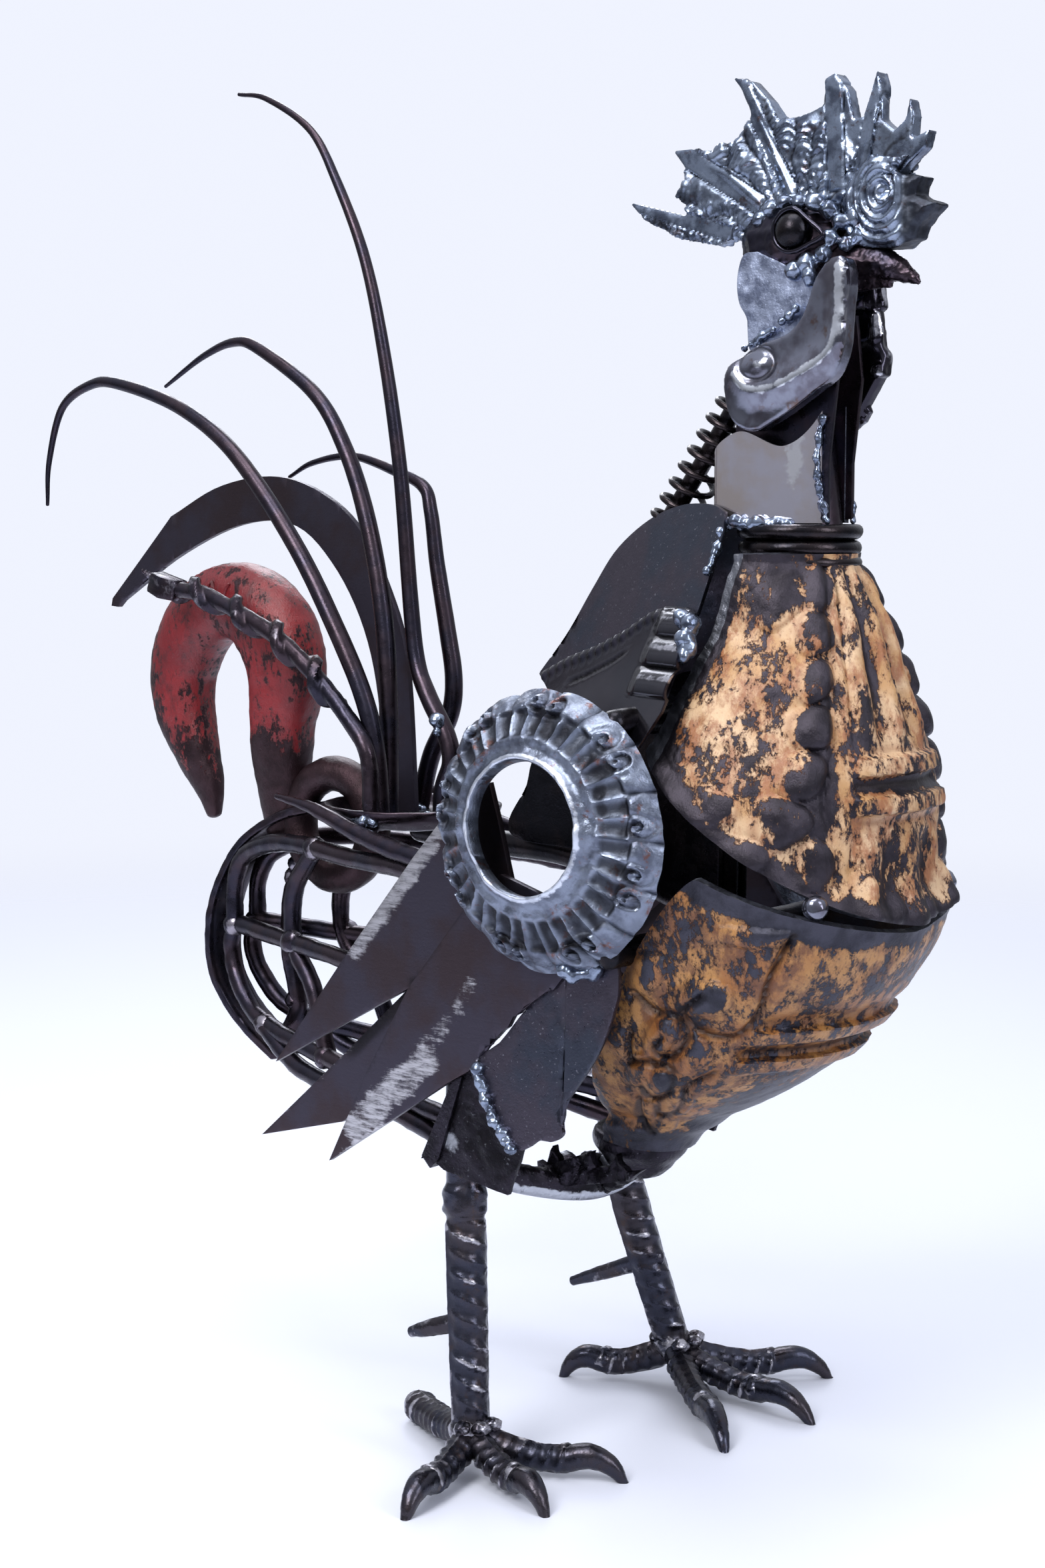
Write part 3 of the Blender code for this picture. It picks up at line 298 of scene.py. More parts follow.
def mesh_form(mesh):
    """A scene mesh's points, normals and faces, in the bird's millimetres."""
    points = np.zeros(len(mesh.vertices) * 3)
    mesh.vertices.foreach_get("co", points)
    normals = np.zeros(len(mesh.vertices) * 3, np.float32)
    mesh.vertex_normals.foreach_get("vector", normals)
    faces = [list(face.vertices) for face in mesh.polygons]
    return Form(points.reshape(-1, 3) / MM + (CENTRE_AHEAD, 0, 0), faces), normals.reshape(-1, 3)


def with_modifiers(mesh, modifiers):
    """The mesh after a list of (kind, settings) modifiers."""
    item = bpy.data.objects.new("working", mesh)
    bpy.context.scene.collection.objects.link(item)
    for kind, settings in modifiers:
        modifier = item.modifiers.new(kind.lower(), kind)
        for key, value in settings.items():
            setattr(modifier, key, value)
    bpy.context.view_layer.update()
    made = bpy.data.meshes.new_from_object(item.evaluated_get(bpy.context.evaluated_depsgraph_get()))
    bpy.data.objects.remove(item, do_unlink=True)
    return made


def scene_mesh(name, form):
    mesh = bpy.data.meshes.new(name)
    mesh.from_pydata(((form.points - (CENTRE_AHEAD, 0, 0)) * MM).tolist(), [], form.faces)
    return mesh


def recast(source, voxel, rounds, relief=None):
    """A node or form as one even skin, softened, then raised by relief(points, normals)."""
    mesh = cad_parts[source].data.copy() if isinstance(source, str) else scene_mesh("working", source)
    steps = [("REMESH", {"mode": "VOXEL", "voxel_size": voxel * MM}),
             ("SMOOTH", {"factor": 0.5, "iterations": rounds})]
    form, normals = mesh_form(with_modifiers(mesh, steps))
    if relief:
        height, form.wear_and_highlight, form.dirt_and_shade = relief(form.points, normals)
        form.points = form.points + normals * height[:, None]
    return form


def plate(outline, thickness, y=0.0, bend=None, marks=None, spacing=3.0, bevel=0.5):
    """A plate cut to an outline of (x, z), bent by bend(x, z) in y; marks(x, z) gives its wear and dirt,
    which hold painted highlights on the rope plates and painted shadow on the wing blades.
    """
    flat = bmesh.new()
    flat.faces.new([flat.verts.new(((x - CENTRE_AHEAD) * MM, 0, z * MM)) for x, z in outline])
    bmesh.ops.triangulate(flat, faces=flat.faces)
    for axis in (0, 2):
        values = [vertex.co[axis] / MM for vertex in flat.verts]
        normal = (1, 0, 0) if axis == 0 else (0, 0, 1)
        for cut in np.arange(min(values) + spacing, max(values), spacing):
            geometry = flat.verts[:] + flat.edges[:] + flat.faces[:]
            bmesh.ops.bisect_plane(flat, geom=geometry, plane_co=[cut * MM * part for part in normal],
                                   plane_no=normal, dist=0.00002)
    mesh = bpy.data.meshes.new("working")
    flat.to_mesh(mesh)
    flat.free()
    steps = [("SOLIDIFY", {"thickness": thickness * MM, "offset": 0.0}),
             ("BEVEL", {"width": bevel * MM, "segments": 2, "limit_method": "ANGLE", "angle_limit": 0.9})]
    form = mesh_form(with_modifiers(mesh, steps))[0]
    x, z = form.points[:, 0], form.points[:, 2]
    form.points[:, 1] += y + (bend(x, z) if bend else 0.0)
    if marks:
        form.wear_and_highlight, form.dirt_and_shade = (mark + 0 * x for mark in marks(x, z))
    return form


def blob(centre, size, seed=0, lumps=0.18, fine=3):
    """A solid drop of weld metal."""
    ball = bmesh.new()
    bmesh.ops.create_icosphere(ball, subdivisions=fine, radius=1.0)
    points = np.array([vertex.co for vertex in ball.verts])
    faces = [[vertex.index for vertex in face.verts] for face in ball.faces]
    ball.free()
    size = np.array(size if np.ndim(size) else (size, size, size), float)
    points = points * (1 + lumps * rough(points, 0.9, seed)[:, None])
    return Form(points * size + centre, faces, 0.5 + 0.5 * noise(points, 0.7, seed + 5))


def weld_line(points, count, radius, seed=0):
    """A run of overlapping drops of weld metal."""
    forms = []
    for number, place in enumerate(smooth(points, count)):
        wobble = np.array([math.sin(5.1 * number + seed), math.cos(3.7 * number + seed),
                           math.sin(2.3 * number)])
        size = radius * (1 + 0.25 * math.sin(7.7 * number + seed))
        forms.append(blob(place + wobble * radius * 0.25, size, seed + number, fine=2))
    return total(forms)


def show(name, form, finishes, nodes=(), sharp=42):
    """One piece of the scene in its finishes, in place of the named nodes."""
    finishes = finishes if isinstance(finishes, tuple) else (finishes,)
    mesh = scene_mesh(name, form)
    # The wear and dirt marks go to the shaders as point attributes; on some pieces they hold painted
    # highlights and painted shade as well as real wear and dirt.
    for label, values in (("wear_and_highlight", form.wear_and_highlight), ("dirt_and_shade", form.dirt_and_shade)):
        mesh.attributes.new(label, "FLOAT", "POINT").data.foreach_set("value", values.astype(np.float32))
    mesh.polygons.foreach_set("material_index", form.finish.astype(np.int32))
    for finish in finishes:
        mesh.materials.append(SKIN[finish])
    closed = bmesh.new()
    closed.from_mesh(mesh)
    bmesh.ops.remove_doubles(closed, verts=closed.verts, dist=0.000001)
    bmesh.ops.recalc_face_normals(closed, faces=closed.faces)
    closed.to_mesh(mesh)
    closed.free()
    mesh.shade_smooth()
    mesh.set_sharp_from_angle(angle=math.radians(sharp))
    item = bpy.data.objects.new(name, mesh)
    bpy.context.scene.collection.objects.link(item)
    if nodes:
        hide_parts(*nodes)
    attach(item, "root")


def show_node(node, form, finishes):
    show(node + "_worked", form, finishes, (node,))


def both_sides(form):
    return ("right", form), ("left", form.mirrored())


def show_pair(base, form, finishes, sharp=42):
    """The right-hand piece and its mirror image, each in place of its own node."""
    for side, shape in both_sides(form):
        show(base + "_worked_" + side, shape, finishes, (base + "_" + side,), sharp)


def show_welds(base, form):
    for side, shape in both_sides(form):
        show(base + "_" + side, shape, "weld")


# Finishes


class Finish:
    """A material under construction, with short calls for the nodes that it is made of."""

    def __init__(self, name):
        self.material = bpy.data.materials.new(name)
        self.material.use_nodes = True
        self.tree = self.material.node_tree
        self.shader = self.tree.nodes["Principled BSDF"]
        self.place = self.tree.nodes.new("ShaderNodeTexCoord").outputs["Object"]

    def node(self, kind, inputs, output=0, **settings):
        made = self.tree.nodes.new("ShaderNode" + kind)
        for key, value in settings.items():
            setattr(made, key, value)
        for key, value in inputs.items():
            self.put(made.inputs[key], value)
        return made.outputs[output]

    def put(self, socket, value):
        if isinstance(value, bpy.types.NodeSocket):
            self.tree.links.new(value, socket)
        elif isinstance(value, tuple) and len(value) == 3 and socket.type == "RGBA":
            socket.default_value = (*value, 1.0)
        else:
            socket.default_value = value

    def noise(self, size, detail=4.0, roughness=0.55, stretch=(1, 1, 1), seed=0.0):
        shift = (seed, seed * 0.7, 0)
        place = self.node("Mapping", {"Vector": self.place, "Scale": stretch, "Location": shift})
        return self.node("TexNoise", {"Vector": place, "Scale": 1 / (size * MM), "Detail": detail,
                                      "Roughness": roughness})

    def step(self, value, low, high, first=0.0, last=1.0):
        return self.node("MapRange", {0: value, 1: low, 2: high, 3: first, 4: last},
                         interpolation_type="SMOOTHSTEP")

    def maths(self, operation, first, second=0.0):
        return self.node("Math", {0: first, 1: second}, operation=operation)

    def spread(self, value, noise, amount):
        """The value with noise about its middle laid over it."""
        return self.maths("ADD", value, self.maths("MULTIPLY", self.maths("SUBTRACT", noise, 0.5), amount))

    def mix(self, share, first, second):
        return self.node("Mix", {0: share, 6: first, 7: second}, output=2, data_type="RGBA")

    def mark(self, name):
        return self.node("Attribute", {}, output="Fac", attribute_name=name)

    def bump(self, height, depth, normal=None):
        inputs = {"Height": height, "Distance": depth * MM, "Strength": 1.0}
        if normal:
            inputs["Normal"] = normal
        return self.node("Bump", inputs)

    def done(self, colour, roughness, metallic, normal=None):
        for socket, value in (("Base Color", colour), ("Roughness", roughness), ("Metallic", metallic)):
            self.put(self.shader.inputs[socket], value)
        if normal:
            self.put(self.shader.inputs["Normal"], normal)
        return self.material


def metal(name, base, tint, bright, roughness, cloud=24.0, grain=1.1, depth=0.10, specks=0.0, rust=None,
          worn_low=0.62):
    """Bare metal: cloudy colour, fine grain, bright where the wear mark is high and dark where the dirt mark
    is high; the wear mark also holds the painted highlights of the wattle, cowl and rope plates.
    """
    kit = Finish(name)
    clouds = kit.noise(cloud, 5.0, 0.6)
    fine = kit.noise(grain, 3.0, 0.6, seed=3.0)
    middle = kit.noise(grain * 5, 4.0, 0.6, seed=5.0)
    colour = kit.mix(kit.step(clouds, 0.42, 0.62), base, tint)
    if rust:
        spread = kit.step(kit.noise(cloud * 0.6, 7.0, 0.7, seed=9.0), 0.56, 0.68, 0.0, 0.8)
        colour = kit.mix(spread, colour, rust)
    if specks:
        flecks = kit.step(kit.noise(1.3, 2.0, 0.5, seed=7.0), 0.66, 0.74, 0.0, specks)
        colour = kit.mix(flecks, colour, bright)
    # Worn colour: real wear, and the painted highlights laid as wear on the wattle, the cowl and the rope
    # plates.
    worn = kit.step(kit.spread(kit.mark("wear_and_highlight"), middle, 1.1), worn_low - 0.12, worn_low + 0.12)
    colour = kit.mix(worn, colour, bright)
    colour = kit.mix(kit.step(kit.mark("dirt_and_shade"), 0.0, 1.0, 0.0, 0.9), colour, (0.012, 0.011, 0.013))
    gloss = kit.maths("ADD", kit.step(middle, 0.3, 0.7, roughness * 0.75, roughness * 1.3),
                      kit.maths("MULTIPLY", kit.mark("dirt_and_shade"), 0.25))
    normal = kit.bump(fine, depth, kit.bump(middle, depth * 1.6))
    return kit.done(colour, gloss, 0.95, normal)


def paint(name, pale, deep, stain, bare, chip=0.565, stain_low=0.5, gloss=0.42, chip_size=15.0):
    """Old chipped paint over dark iron: stained, pitted, and gone where a point's wear says so."""
    kit = Finish(name)
    large = kit.noise(chip_size, 8.0, 0.68, (1, 1, 0.5))
    small = kit.noise(chip_size / 3.2, 8.0, 0.72, (1, 1, 0.55), seed=4.0)
    specks = kit.noise(1.7, 5.0, 0.75, (1, 1, 0.7), seed=5.0)
    ragged = kit.maths("ADD", kit.maths("MULTIPLY", large, 0.44), kit.maths("MULTIPLY", small, 0.38))
    ragged = kit.maths("ADD", ragged, kit.maths("MULTIPLY", specks, 0.18))
    lost = kit.maths("ADD", ragged, kit.maths("MULTIPLY", kit.mark("wear_and_highlight"), 0.26))
    chips = kit.step(lost, chip - 0.004, chip + 0.01)
    edge = kit.step(lost, chip - 0.05, chip, 0.0, 0.75)
    colour = kit.mix(kit.step(kit.noise(26, 4.0, 0.6, seed=2.0), 0.4, 0.62), pale, deep)
    stains = kit.noise(10, 7.0, 0.68, (1, 1, 0.5), seed=6.0)
    stains = kit.step(stains, stain_low, stain_low + 0.16, 0.0, 0.85)
    # The dirt mark stains the paint and, past 0.35, darkens it to near black; on the breast shells it also
    # holds painted shade round the lobes' feet.
    soiled_and_shaded = kit.maths("MULTIPLY", kit.mark("dirt_and_shade"), 0.9)
    colour = kit.mix(kit.maths("MAXIMUM", stains, soiled_and_shaded), colour, stain)
    colour = kit.mix(kit.step(kit.noise(2.1, 4.0, 0.7, seed=8.0), 0.6, 0.7, 0.0, 0.6), colour, stain)
    colour = kit.mix(edge, colour, tuple(0.5 * part for part in stain))
    shade = kit.step(kit.noise(12, 5.0, 0.6, seed=1.0), 0.4, 0.65)
    iron = kit.mix(shade, bare, tuple(0.55 * part for part in bare))
    colour = kit.mix(chips, colour, iron)
    colour = kit.mix(kit.step(kit.mark("dirt_and_shade"), 0.35, 1.0, 0.0, 0.7), colour, (0.02, 0.014, 0.012))
    fine = kit.noise(0.9, 3.0, 0.6)
    film = kit.step(lost, chip - 0.01, chip + 0.012, 1.0, 0.0)
    normal = kit.bump(film, 0.45, kit.bump(fine, 0.14, kit.bump(small, 0.5)))
    roughness, shine = kit.step(chips, 0.0, 1.0, gloss, 0.36), kit.step(chips, 0.0, 1.0, 0.0, 0.8)
    return kit.done(colour, roughness, shine, normal)


def ground_sheet():
    """Dark sheet with patches ground bright: short strokes run across the blades."""
    kit = Finish("ground_sheet")
    strokes = kit.noise(1.6, 4.0, 0.75, (0.14, 1, 1), seed=2.0)
    ragged = kit.noise(9, 7.0, 0.72, seed=4.0)
    worn = kit.spread(kit.spread(kit.mark("wear_and_highlight"), ragged, 1.5), strokes, 1.3)
    worn = kit.step(worn, 0.45, 0.95)
    clouds = kit.noise(34, 4.0, 0.55)
    colour = kit.mix(kit.step(clouds, 0.4, 0.62), (0.052, 0.046, 0.064), (0.05, 0.036, 0.042))
    light = kit.mix(kit.step(strokes, 0.35, 0.65), (0.26, 0.255, 0.27), (0.54, 0.53, 0.56))
    colour = kit.mix(worn, colour, light)
    # Painted shadow: the dirt mark darkens the wing blades to near black under the edges of the blades that
    # lie over them.
    colour = kit.mix(kit.step(kit.mark("dirt_and_shade"), 0.0, 1.0, 0.0, 0.85), colour, (0.012, 0.011, 0.013))
    normal = kit.bump(kit.noise(1.2, 3.0, 0.6), 0.06, kit.bump(strokes, 0.05))
    return kit.done(colour, kit.step(worn, 0.0, 1.0, 0.40, 0.34), 0.9, normal)


def make_finishes():
    return {
        "black": metal("black_iron_worn", (0.014, 0.014, 0.018), (0.03, 0.024, 0.026),
                       (0.42, 0.43, 0.47), 0.24),
        "dark": metal("dark_steel_worn", (0.046, 0.034, 0.043), (0.030, 0.028, 0.042),
                      (0.28, 0.26, 0.30), 0.30, depth=0.05),
        "sheet": metal("sheet_steel_worn", (0.066, 0.058, 0.076), (0.05, 0.056, 0.078),
                       (0.40, 0.40, 0.46), 0.36, specks=0.35, cloud=34),
        "zinc": metal("cast_zinc_worn", (0.21, 0.24, 0.31), (0.115, 0.13, 0.175), (0.62, 0.66, 0.75), 0.35,
                      rust=(0.17, 0.065, 0.04), cloud=13, depth=0.2),
        "cheek": metal("mottled_zinc", (0.40, 0.45, 0.60), (0.20, 0.23, 0.33), (0.72, 0.78, 0.92), 0.36,
                       cloud=7, depth=0.2, worn_low=0.55),
        "steel": metal("polished_steel_worn_and_highlit", (0.21, 0.22, 0.275), (0.12, 0.115, 0.145),
                       (0.75, 0.78, 0.85), 0.15, rust=(0.12, 0.075, 0.06), cloud=14, depth=0.03),
        "weld": metal("weld_metal", (0.26, 0.31, 0.41), (0.10, 0.12, 0.17), (0.66, 0.72, 0.84), 0.22,
                      rust=(0.09, 0.055, 0.05), cloud=9, depth=0.06),
        "cowl": metal("heat_tinted_steel", (0.66, 0.64, 0.73), (0.63, 0.56, 0.54), (0.85, 0.85, 0.9), 0.11,
                      cloud=40, depth=0.01),
        "bar": metal("ribbed_bar_worn", (0.040, 0.042, 0.060), (0.050, 0.044, 0.052),
                     (0.38, 0.37, 0.41), 0.25, rust=(0.065, 0.044, 0.038), worn_low=0.55),
        "scorched": metal("scorched_iron", (0.012, 0.011, 0.014), (0.03, 0.026, 0.036),
                          (0.45, 0.47, 0.52), 0.34, depth=0.4, grain=1.6, specks=0.2),
        "stamped": metal("stamped_strip", (0.036, 0.033, 0.045), (0.028, 0.028, 0.04),
                         (0.5, 0.5, 0.55), 0.13, cloud=30, depth=0.03),
        "edge": metal("sawn_edge", (0.075, 0.08, 0.10), (0.04, 0.04, 0.052), (0.16, 0.165, 0.19), 0.45,
                      cloud=3, depth=0.35),
        "inner": metal("bare_casting", (0.035, 0.034, 0.045), (0.05, 0.036, 0.03), (0.60, 0.62, 0.66), 0.5,
                       depth=0.3),
        "ground": ground_sheet(),
        "cream": paint("chipped_cream", (0.54, 0.365, 0.215), (0.41, 0.225, 0.09), (0.24, 0.075, 0.022),
                       (0.040, 0.034, 0.044), chip=0.530, stain_low=0.45, gloss=0.36),
        "ochre": paint("chipped_ochre", (0.38, 0.185, 0.055), (0.27, 0.105, 0.026), (0.10, 0.032, 0.012),
                       (0.050, 0.050, 0.068), chip=0.52, stain_low=0.44, gloss=0.38),
        "red": paint("chipped_red", (0.20, 0.011, 0.014), (0.14, 0.007, 0.010), (0.06, 0.007, 0.009),
                     (0.046, 0.025, 0.03), chip=0.556, stain_low=0.52, gloss=0.30, chip_size=11.0),
    }


SKIN = make_finishes()


# Breast


def lobes(angle, z, radius, rows):
    """Lobes of (degrees, height, half width, half height, rise) that die away to the sides."""
    raised = 0.0
    for degrees, level, wide, tall, rise in rows:
        across = (angle - degrees) * math.pi / 180 * radius
        fade = 1 - 0.8 * blend(across / wide, -0.3, 0.9)
        raised = np.maximum(raised, rise * fade * dome(across / wide, (z - level) / tall))
    return raised


UPPER_LOBES = ((41, 389, 9, 9, 3.4), (42, 371, 9, 9, 4.2), (42, 353, 10, 9, 4.8), (43, 335, 11, 9, 5.4),
               (45, 316, 12, 10, 5.4), (50, 297, 14, 10, 5.0), (60, 284, 12, 8, 4.0), (38, 281, 10, 10, 4.0),
               (22, 267, 8, 11, 3.8), (9, 261, 5, 8, 2.4), (72, 303, 12, 8, 3.0), (66, 384, 11, 12, 2.6))
UPPER_CREASES = (((33, 400), (33, 380), (33, 360), (33, 340), (34, 322), (36, 305), (32, 290)),)


def crease(angle, z, radius, routes, width):
    """How close points lie to lines drawn on a shell as (degrees, height), from 0 to 1."""
    near = np.full(np.broadcast(angle, z).shape, 1e9)
    scale = math.pi / 180 * radius
    for route in routes:
        line = smooth([(degrees, level, 0) for degrees, level in route], 9 * len(route))
        for (first, low, _), (second, high, _) in zip(line, line[1:]):
            run, rise = (second - first) * scale, high - low
            dx, dz = (angle - first) * scale, z - low
            share = np.clip((dx * run + dz * rise) / (run * run + rise * rise + 1e-9), 0, 1)
            near = np.minimum(near, np.hypot(dx - share * run, dz - share * rise))
    return np.exp(-(near / width) ** 2)


def upper_surface(u, share, plain):
    angle = u * SHELL_WRAP
    side = np.abs(angle)
    foot = 253 + 70 * (side / SHELL_WRAP) ** 1.55
    z = 403 + (foot - 403) * share
    radius = through(z, (250, 258, 267, 275, 286, 300, 320, 333, 350, 375, 400),
                     (86.5, 86, 81.5, 78.5, 76.5, 74.5, 67.5, 61.5, 53, 40, 24.5))
    radius = radius + 12 * blend(z, 368, 405) * blend(side, 45, 95)
    panel = 1 - blend(side, 24, 27)
    wave = np.cos(np.radians(angle) * 19.5)
    fluted = blend(z, 322, 336) * (1 - blend(z, 388, 400)) + 0.8 * (1 - blend(z, 284, 294))
    flutes = 2.3 * np.sign(wave) * np.abs(wave) ** 0.7 * fluted
    strips = blend(-np.abs(z - 318.5), -4.6, -3.0) + blend(-np.abs(z - 303), -4.6, -3.0)
    beads = 3.6 * strips - 1.6 * ridge(z, 310.8, 2.4) - 1.2 * ridge(z, 295.5, 2.6)
    lip = 1.5 * blend(z, foot + 9, foot + 1)
    middle = 167 + 26 * (z - 255) / 143
    turn = np.radians(angle)
    flat = np.stack([middle + radius * np.cos(turn), radius * np.sin(turn), z + 0 * radius], -1)
    if plain:
        return flat, 0, 0
    drift = 1.6 * noise(flat, 9, 12)
    raised = lobes(side + drift, z + 1.5 * drift, radius, UPPER_LOBES)
    groove = crease(side, z, radius, UPPER_CREASES, 1.7)
    folds = 0.8 * noise(flat, 18, 2) + 0.4 * noise(flat, 6, 3) + 0.2 * noise(flat, 2.6, 4)
    pebbles = 0.7 * blend(side, 82, 90) * np.abs(noise(flat, 3.4, 9))
    radius = radius + panel * (flutes + beads) - 1.4 * groove + raised + lip + folds + pebbles
    points = np.stack([middle + radius * np.cos(turn), radius * np.sin(turn), z + 0 * radius], -1)
    wing = 0.9 * blend(side + 6 * noise(flat, 11, 4) + 14 * blend(340 - z, 0, 60), 92, 99)
    corner = 0.27 * blend(side + 4 * noise(flat, 8, 6), 36, 46) * blend(z + 9 * noise(flat, 9, 7), 372, 388)
    near_foot = 0.8 * blend(z + 5 * noise(flat, 9, 5), foot + 9, foot + 1)
    column = 0.4 * blend(side + 3 * noise(flat, 7, 13), 32, 35)
    column = column * (1 - blend(side + 5 * noise(flat, 9, 14), 40, 46)) * blend(z, 284, 294)
    drops = (0.5 + 0.4 * noise(flat, 8, 8)) * blend(raised, 1.4, 2.6) * blend(side, 28, 32)
    low_spots = panel * (0.6 * ridge(z, 310.8, 2.6) + 0.25 * fluted * blend(-wave, 0.1, 0.9))
    gone = np.clip(wing + corner + near_foot + np.maximum(drops, column) + low_spots, 0, 1)
    hollow = 0.9 * ridge(z, 310.8, 2.4) + 0.6 * ridge(z, 296, 2.2) + 0.4 * ridge(z, 325, 1.6)
    hollow = panel * hollow + 0.45 * groove
    # Painted shade: darker round the steep foot of each lobe.
    lobe_foot_shade = blend(raised, 0.0, 0.9) * (1 - blend(raised, 0.9, 1.9)) * 0.5
    return points, gone, np.clip(hollow + lobe_foot_shade, 0, 1)


LOWER_LOBES = ((62, 224, 13, 9, 4.2), (72, 206, 10, 11, 4.4), (57, 198, 9, 9, 3.8), (66, 183, 11, 9, 4.4),
               (54, 172, 9, 8, 3.2), (78, 188, 9, 9, 3.2), (70, 166, 8, 7, 2.8), (52, 158, 7, 6, 2.4),
               (86, 232, 12, 9, 3.2), (60, 252, 26, 5, 3.0))
LOWER_CREASES = (((44, 252), (45, 235), (43, 218), (47, 208), (58, 210), (66, 217), (62, 226)),
                 ((88, 222), (78, 216), (66, 214), (60, 204), (64, 196), (72, 198), (70, 205)),
                 ((86, 204), (82, 192), (72, 192), (62, 190), (58, 180), (64, 174), (72, 178)),
                 ((46, 190), (52, 182), (50, 168), (58, 164), (62, 168)), ((74, 172), (68, 158), (56, 152)))


def lower_surface(u, share, plain):
    angle = u * (80 + 30 * share ** 0.6)
    side = np.abs(angle)
    turn = np.radians(angle)
    top = 250 + 24 * (side / 80.0) ** 1.5 * (1 - share)
    bottom = 144 - 3 * np.cos(turn)
    z = top + (bottom - top) * share
    front = through(z, (140, 151, 160, 168, 178, 190, 200, 212, 222, 242, 252),
                    (23, 26.5, 37.5, 48, 60, 69.5, 73.5, 78, 81, 83, 81.5))
    flank = through(z, (140, 151, 178, 200, 222, 252, 275), (23, 25, 48, 60, 66, 72, 75))
    radius = front + (flank - front) * blend(side, 40, 85)
    middle = 114 + 56 * (z - 141) / 109
    flat = np.stack([middle + radius * np.cos(turn), radius * np.sin(turn), z], -1)
    if plain:
        return flat, 0, 0
    panel = 1 - blend(side, 39, 44)
    strips = blend(-np.abs(z - 207), -4.4, -2.6) + blend(-np.abs(z - 193), -4.4, -2.6)
    beads = panel * (3.8 * strips - 2.2 * ridge(z, 200, 2.4) - 1.4 * ridge(z, 215, 3))
    drift = 1.8 * noise(flat, 10, 12)
    raised = lobes(side + drift, z + drift, radius, LOWER_LOBES)
    groove = crease(side, z, radius, LOWER_CREASES, 1.8)
    folds = 1.0 * noise(flat, 20, 7) + 0.45 * noise(flat, 7, 8) + 0.2 * noise(flat, 2.6, 4)
    foot_bead = 2.4 * ridge(z, 152, 3.5) - 1.6 * ridge(z, 159, 3)
    radius = radius + beads - 3.4 * groove + raised + folds + foot_bead
    points = np.stack([middle + radius * np.cos(turn), radius * np.sin(turn), z], -1)
    band = blend(z + 5 * noise(flat, 15, 9), top - 8, top - 3) * 0.6
    front_low = blend(35 - side, 0, 20) * blend(190 - z, 0, 20) * 0.5
    drops = 0.42 * blend(raised, 2.2, 3.4) * blend(noise(flat, 9, 8), -0.3, 0.4)
    gone = np.clip(band + front_low + drops + 0.25 * ridge(z, 148, 6), 0, 1)
    hollow = 0.9 * ridge(z, 200, 2.2) + 0.5 * ridge(z, 214.5, 2.6) + 0.5 * ridge(z, 186, 2)
    hollow = panel * hollow + 0.9 * groove
    # Painted shade: darker round the steep foot of each lobe.
    lobe_foot_shade = 0.65 * blend(raised, 0.0, 0.9) * (1 - blend(raised, 0.9, 2.0))
    # Also darker towards the bottom, below z 172.
    return points, gone, np.clip(hollow + lobe_foot_shade + 0.15 * blend(172 - z, 0, 20), 0, 1)


def breast():
    upper = shell(upper_surface, 205, 142, SHELL_WALL, (160, 0, 330), trim=0.93)
    show("breast_upper_worked", upper, ("cream", "edge", "inner"), ("breast_shell_upper",))
    lower = shell(lower_surface, 196, 132, SHELL_WALL, (130, 0, 210))
    show("breast_lower_worked", lower, ("ochre", "edge", "inner"), ("breast_shell_lower",))


def bead_profile(bore, stops):
    """Round beads of a collar from stops of (radius, height); each bead bulges by 3."""
    rows = [(bore, stops[0][1])]
    for (first, top), (second, bottom) in zip(stops, stops[1:]):
        for turn in np.linspace(0, math.pi, 9):
            share = (1 - math.cos(turn)) / 2
            radius = first + (second - first) * share + 3.2 * math.sin(turn)
            rows.append((radius, top + (bottom - top) * share))
    return rows + [(bore, stops[-1][1])]


def collars():
    beads = bead_profile(17, ((23.5, 9), (22.5, 2.5), (22.5, -4), (23, -9)))
    show_node("neck_collar", turned(beads, 72, (193, 0, 406), (0, 0, 1)), "black")
    cup = half_profile(((0, 8), (18, 10), (21.5, 8), (21, 3), (17, -2), (14, -6), (9, -10), (0, -11)), 50)
    form = turned(cup, 64, (111, 0, 136), (4, 0, 40), wrap=False)
    form.points[:, :] += 0.5 * rough(form.points, 9)[:, None] * (form.points - (111, 0, 134)) / 26
    show_node("belly_collar", form, "scorched")


def rivets():
    turn = math.radians(36)
    button = half_profile(((0, 4.3), (2.6, 3.8), (4.6, 2.0), (5.0, 0), (5.0, -2), (0, -2)), 30)
    form = turned(button, 32, (236, -49.5, 264), (math.cos(turn), -math.sin(turn), 0.3), wrap=False)
    form.points += 0.35 * noise(form.points, 3)[:, None] * (0.6, -0.6, 0.3)
    form.wear_and_highlight[:] = 0.3
    show_pair("breast_rivet", form, "steel")


# Wings


FLUTES = 35
VOLUTES = 17


